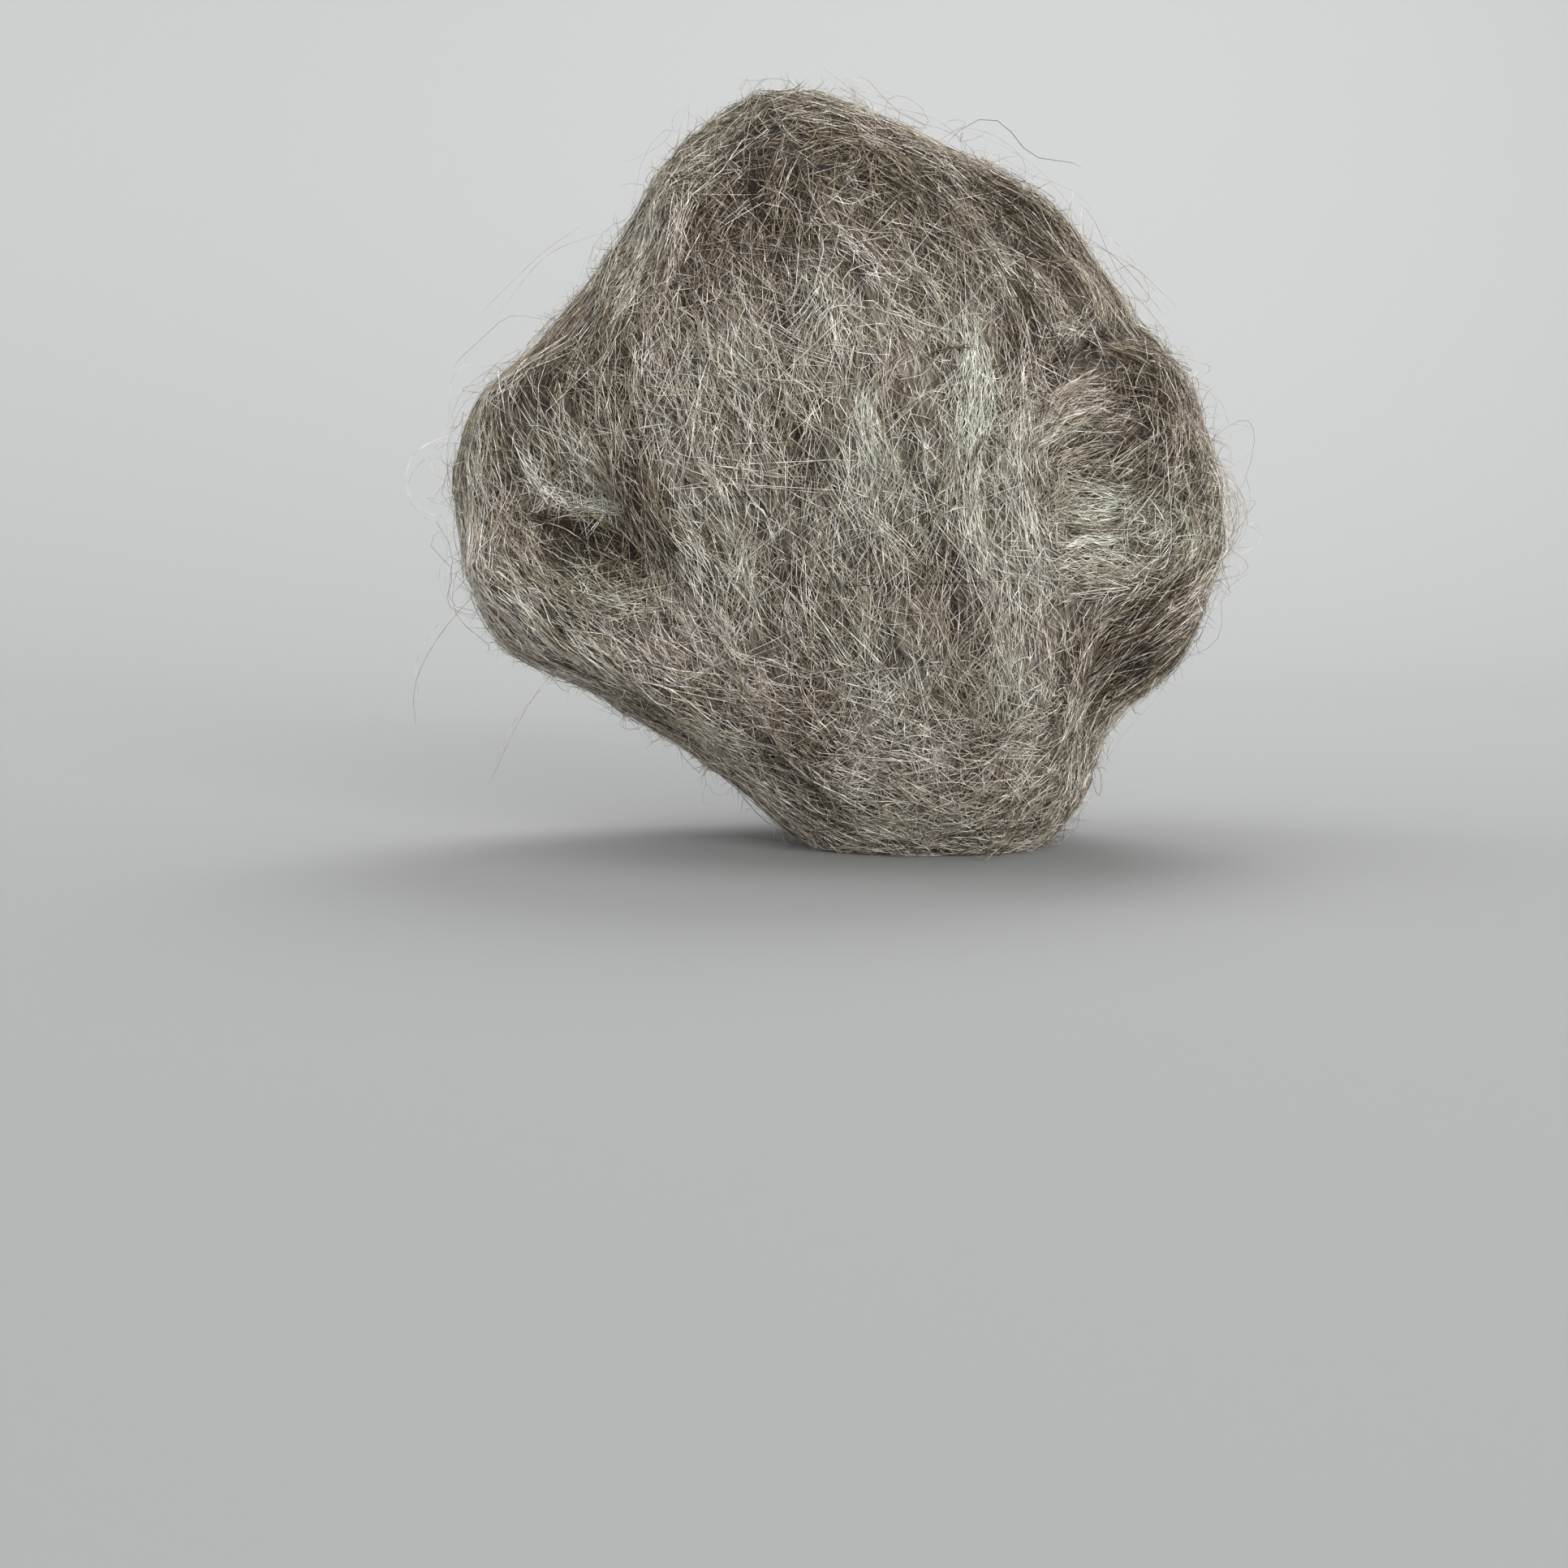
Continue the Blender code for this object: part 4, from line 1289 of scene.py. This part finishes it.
def tinted(tree, factor, shader):
    """The point colour times a factor, as the shader's colour."""
    own = tree.nodes.new("ShaderNodeVertexColor")
    own.layer_name = "fleece"
    mix = tree.nodes.new("ShaderNodeMix")
    mix.data_type = "RGBA"
    mix.blend_type = "MULTIPLY"
    mix.inputs["Factor"].default_value = 1.0
    link(tree, own.outputs["Color"], mix.inputs["A"])
    link(tree, factor, mix.inputs["B"])
    link(tree, mix.outputs["Result"], shader.inputs["Base Color"])


def ranged(tree, value, low, high, to_low, to_high):
    """A value from low to high, stretched to run from to_low to to_high."""
    node = tree.nodes.new("ShaderNodeMapRange")
    set_inputs(node, {"From Min": low, "From Max": high, "To Min": to_low, "To Max": to_high})
    link(tree, value, node.inputs["Value"])
    return node.outputs["Result"]


def fibre_material():
    """Noise of one number, "run", so that each fibre goes pale and dark along its own length."""
    material, tree, shader = wool_shader("wool_fibre")
    run = tree.nodes.new("ShaderNodeAttribute")
    run.attribute_name = "run"
    uneven = tree.nodes.new("ShaderNodeTexNoise")
    uneven.noise_dimensions = "1D"
    set_inputs(uneven, {"Scale": 0.4, "Detail": 1.0})
    link(tree, run.outputs["Fac"], uneven.inputs["W"])
    tinted(tree, ranged(tree, uneven.outputs["Fac"], 0.36, 0.64, 0.56, 1.36), shader)
    return material


FIBRE = fibre_material()
for piece in pieces:
    piece.data.materials.append(FIBRE)
print("fibre material:", len(FIBRE.node_tree.nodes), "nodes, on", len(pieces), "pieces")


# %% [markdown]
# The under-layer has to look like the many fibres that aren't drawn. Its streaks are noise in four
# dimensions. Three of them are the place, taken slowly, so that a streak stays as it is for a few
# millimetres. The fourth is the number that says how far across a wrap the point lies, taken fast, so that
# the noise changes about every third of a millimetre. There is one such noise for each wrap, and they are
# added by the wraps' shares. A second, broader set makes the difference between one lock and the next.

# %% Under-layer material
def combined(tree, operation, *values):
    """A Math node on values that are numbers or other nodes' sockets, in the order of its inputs."""
    node = tree.nodes.new("ShaderNodeMath")
    node.operation = operation
    for socket, value in zip(node.inputs, values):
        if isinstance(value, float):
            socket.default_value = value
        else:
            link(tree, value, socket)
    return node.outputs["Value"]


def streaks(tree, place, across, shares, wide_mm, long_mm):
    """Sum over the wraps of share x noise(place / long_mm, across / wide_mm)."""
    slow = tree.nodes.new("ShaderNodeVectorMath")
    slow.operation = "SCALE"
    slow.inputs["Scale"].default_value = 1.0 / (long_mm * MM)
    link(tree, place, slow.inputs[0])
    total = 0.0
    for across_wrap, share in zip(across, shares):
        fast = combined(tree, "MULTIPLY", across_wrap, 1.0 / wide_mm)
        noise = tree.nodes.new("ShaderNodeTexNoise")
        noise.noise_dimensions = "4D"
        set_inputs(noise, {"Scale": 1.0, "Detail": 2.5, "Roughness": 0.6})
        link(tree, slow.outputs["Vector"], noise.inputs["Vector"])
        link(tree, fast, noise.inputs["W"])
        total = combined(tree, "MULTIPLY_ADD", noise.outputs["Fac"], share, total)
    return total


def four_numbers(tree, name):
    """The sockets of the four numbers that point_colours() put on the points."""
    source = tree.nodes.new("ShaderNodeAttribute")
    source.attribute_name = name
    parts = tree.nodes.new("ShaderNodeSeparateColor")
    link(tree, source.outputs["Color"], parts.inputs["Color"])
    return [parts.outputs["Red"], parts.outputs["Green"], parts.outputs["Blue"], source.outputs["Alpha"]]


def under_wool_material():
    """Fine streaks, counted twice, and broad ones, as the skin's tone and as its bump."""
    material, tree, shader = wool_shader("matted_wool")
    place = tree.nodes.new("ShaderNodeTexCoord").outputs["Object"]
    across, shares = four_numbers(tree, "across_wraps"), four_numbers(tree, "wrap_shares")
    fine = streaks(tree, place, across, shares, 0.30, 2.8)
    broad = streaks(tree, place, across, shares, 1.1, 8.0)
    both = combined(tree, "MULTIPLY_ADD", fine, 2.0, broad)
    tinted(tree, ranged(tree, both, 1.2, 2.1, 0.07, 1.5), shader)
    bump = tree.nodes.new("ShaderNodeBump")
    set_inputs(bump, {"Strength": 0.55, "Distance": 0.35 * MM})
    link(tree, both, bump.inputs["Height"])
    link(tree, bump.outputs["Normal"], shader.inputs["Normal"])
    return material


MATTED = under_wool_material()
under_wool.data.materials.append(MATTED)
print("under-layer material:", len(MATTED.node_tree.nodes), "nodes")


# %% [markdown]
# ## The floor
#
# The ball stands on a sweep, one sheet of pale paper that runs from the table up the wall in a wide bend,
# so that no edge shows behind it. The sheet is a grid, and each of its rows is one step along that profile.

# %% Sweep
SWEEP_HALF_WIDTH_M = 1.6
SWEEP_FRONT_M = -1.0
SWEEP_BACK_M = 0.75
SWEEP_TOP_M = 1.8
SWEEP_BEND_M = 0.35
SWEEP_COLUMNS = 9
PAPER_FINISH = {"Base Color": (0.412, 0.4185, 0.415, 1.0), "Roughness": 0.9}


def sweep():
    """A level floor, a quarter turn of a circle and an upright wall, with a row of points at each step."""
    turn = np.linspace(0.0, np.pi / 2, 17)
    bend_y = SWEEP_BACK_M - SWEEP_BEND_M + SWEEP_BEND_M * np.sin(turn)
    bend_z = SWEEP_BEND_M * (1.0 - np.cos(turn))
    y = np.concatenate([[SWEEP_FRONT_M], bend_y, [SWEEP_BACK_M]])
    z = np.concatenate([[0.0], bend_z, [SWEEP_TOP_M]])
    x = np.linspace(-SWEEP_HALF_WIDTH_M, SWEEP_HALF_WIDTH_M, SWEEP_COLUMNS)
    grid = np.stack(np.broadcast_arrays(x, y[:, None], z[:, None]), axis=-1)
    corner = np.arange(y.size * SWEEP_COLUMNS).reshape(-1, SWEEP_COLUMNS)
    quads = np.stack([corner[:-1, :-1], corner[:-1, 1:], corner[1:, 1:], corner[1:, :-1]], axis=-1)
    mesh = bpy.data.meshes.new("sweep")
    mesh.from_pydata(grid.reshape(-1, 3), [], quads.reshape(-1, 4))
    mesh.shade_smooth()
    return in_scene("sweep", mesh)


floor = sweep()
paper = bpy.data.materials.new("pale_paper")
paper.use_nodes = True
set_inputs(paper.node_tree.nodes["Principled BSDF"], PAPER_FINISH)
floor.data.materials.append(paper)
print("sweep:", len(floor.data.polygons), "squares")


# %% [markdown]
# ## Light
#
# The light is soft and comes mostly from the front, a little from the right, which is what keeps the crown
# from shining. A wide disk of light stands in for a window. A weak one above the ball and one behind it
# keep its other sides from going dark, a small one evens the sheet, and the room's own pale glow fills the
# rest.

# %% Lights
BALL_MIDDLE_M = (0.0, 0.0, 0.058)
Softbox = namedtuple("Softbox", "name at_m aim_m size_m watts")
SOFTBOXES = [
    Softbox("window", (0.52, -1.85, 0.25), BALL_MIDDLE_M, 1.37, 57.5),
    Softbox("ceiling", (-0.6, 0.1, 1.5), BALL_MIDDLE_M, 1.4, 5.5),
    Softbox("behind the ball", (0.15, 0.50, 0.70), BALL_MIDDLE_M, 0.5, 3.0),
    Softbox("wall lamp", (-0.75, 0.42, 0.45), (-0.2, 0.75, 0.25), 0.3, 1.0),
]
ROOM_GLOW = {"Color": (0.98, 0.995, 1.0, 1.0), "Strength": 0.41}
for box in SOFTBOXES:
    lamp = bpy.data.lights.new(box.name, "AREA")
    lamp.shape = "DISK"
    lamp.size = box.size_m
    lamp.energy = box.watts
    holder = in_scene(box.name, lamp)
    holder.location = box.at_m
    holder.rotation_euler = (Vector(box.aim_m) - holder.location).to_track_quat("-Z", "Y").to_euler()
    print(box.name, "gives", box.watts, "W")
room = bpy.data.worlds.new("room")
room.use_nodes = True
set_inputs(room.node_tree.nodes["Background"], ROOM_GLOW)
bpy.context.scene.world = room
bpy.context.scene.view_settings.view_transform = "Standard"


# %% [markdown]
# ## Camera
#
# The camera looks slightly down, and the ball stands above the middle of its picture. The lens follows
# from three numbers: how far off the camera stands, how wide the picture is in pixels, and how many
# millimetres of the ball one pixel covers.

# %% Camera
PICTURE_PX = 1932
PIXEL_MM = 0.1303  # of the ball, for one pixel of the picture
BALL_AT_PX = (1031, 586)  # where the ball's middle stands in the picture
BALL_MIDDLE_UP_M = 0.0592
CAMERA_M = 0.52
LOOK_DOWN = np.radians(5.0)
SENSOR_MM = 36.0

middle_px = PICTURE_PX / 2
aim = np.array([middle_px - BALL_AT_PX[0], 0.0, BALL_AT_PX[1] - middle_px]) * PIXEL_MM * MM
aim[2] += BALL_MIDDLE_UP_M
seat = aim + CAMERA_M * np.array([0.0, -np.cos(LOOK_DOWN), np.sin(LOOK_DOWN)])
camera = in_scene("camera", bpy.data.cameras.new("camera"))
camera.location = seat
camera.rotation_euler = (Vector(aim) - Vector(seat)).to_track_quat("-Z", "Y").to_euler()
camera.data.sensor_width = SENSOR_MM
camera.data.lens = SENSOR_MM * CAMERA_M / (PICTURE_PX * PIXEL_MM * MM)
bpy.context.scene.camera = camera
print("lens, mm:", round(camera.data.lens, 1))
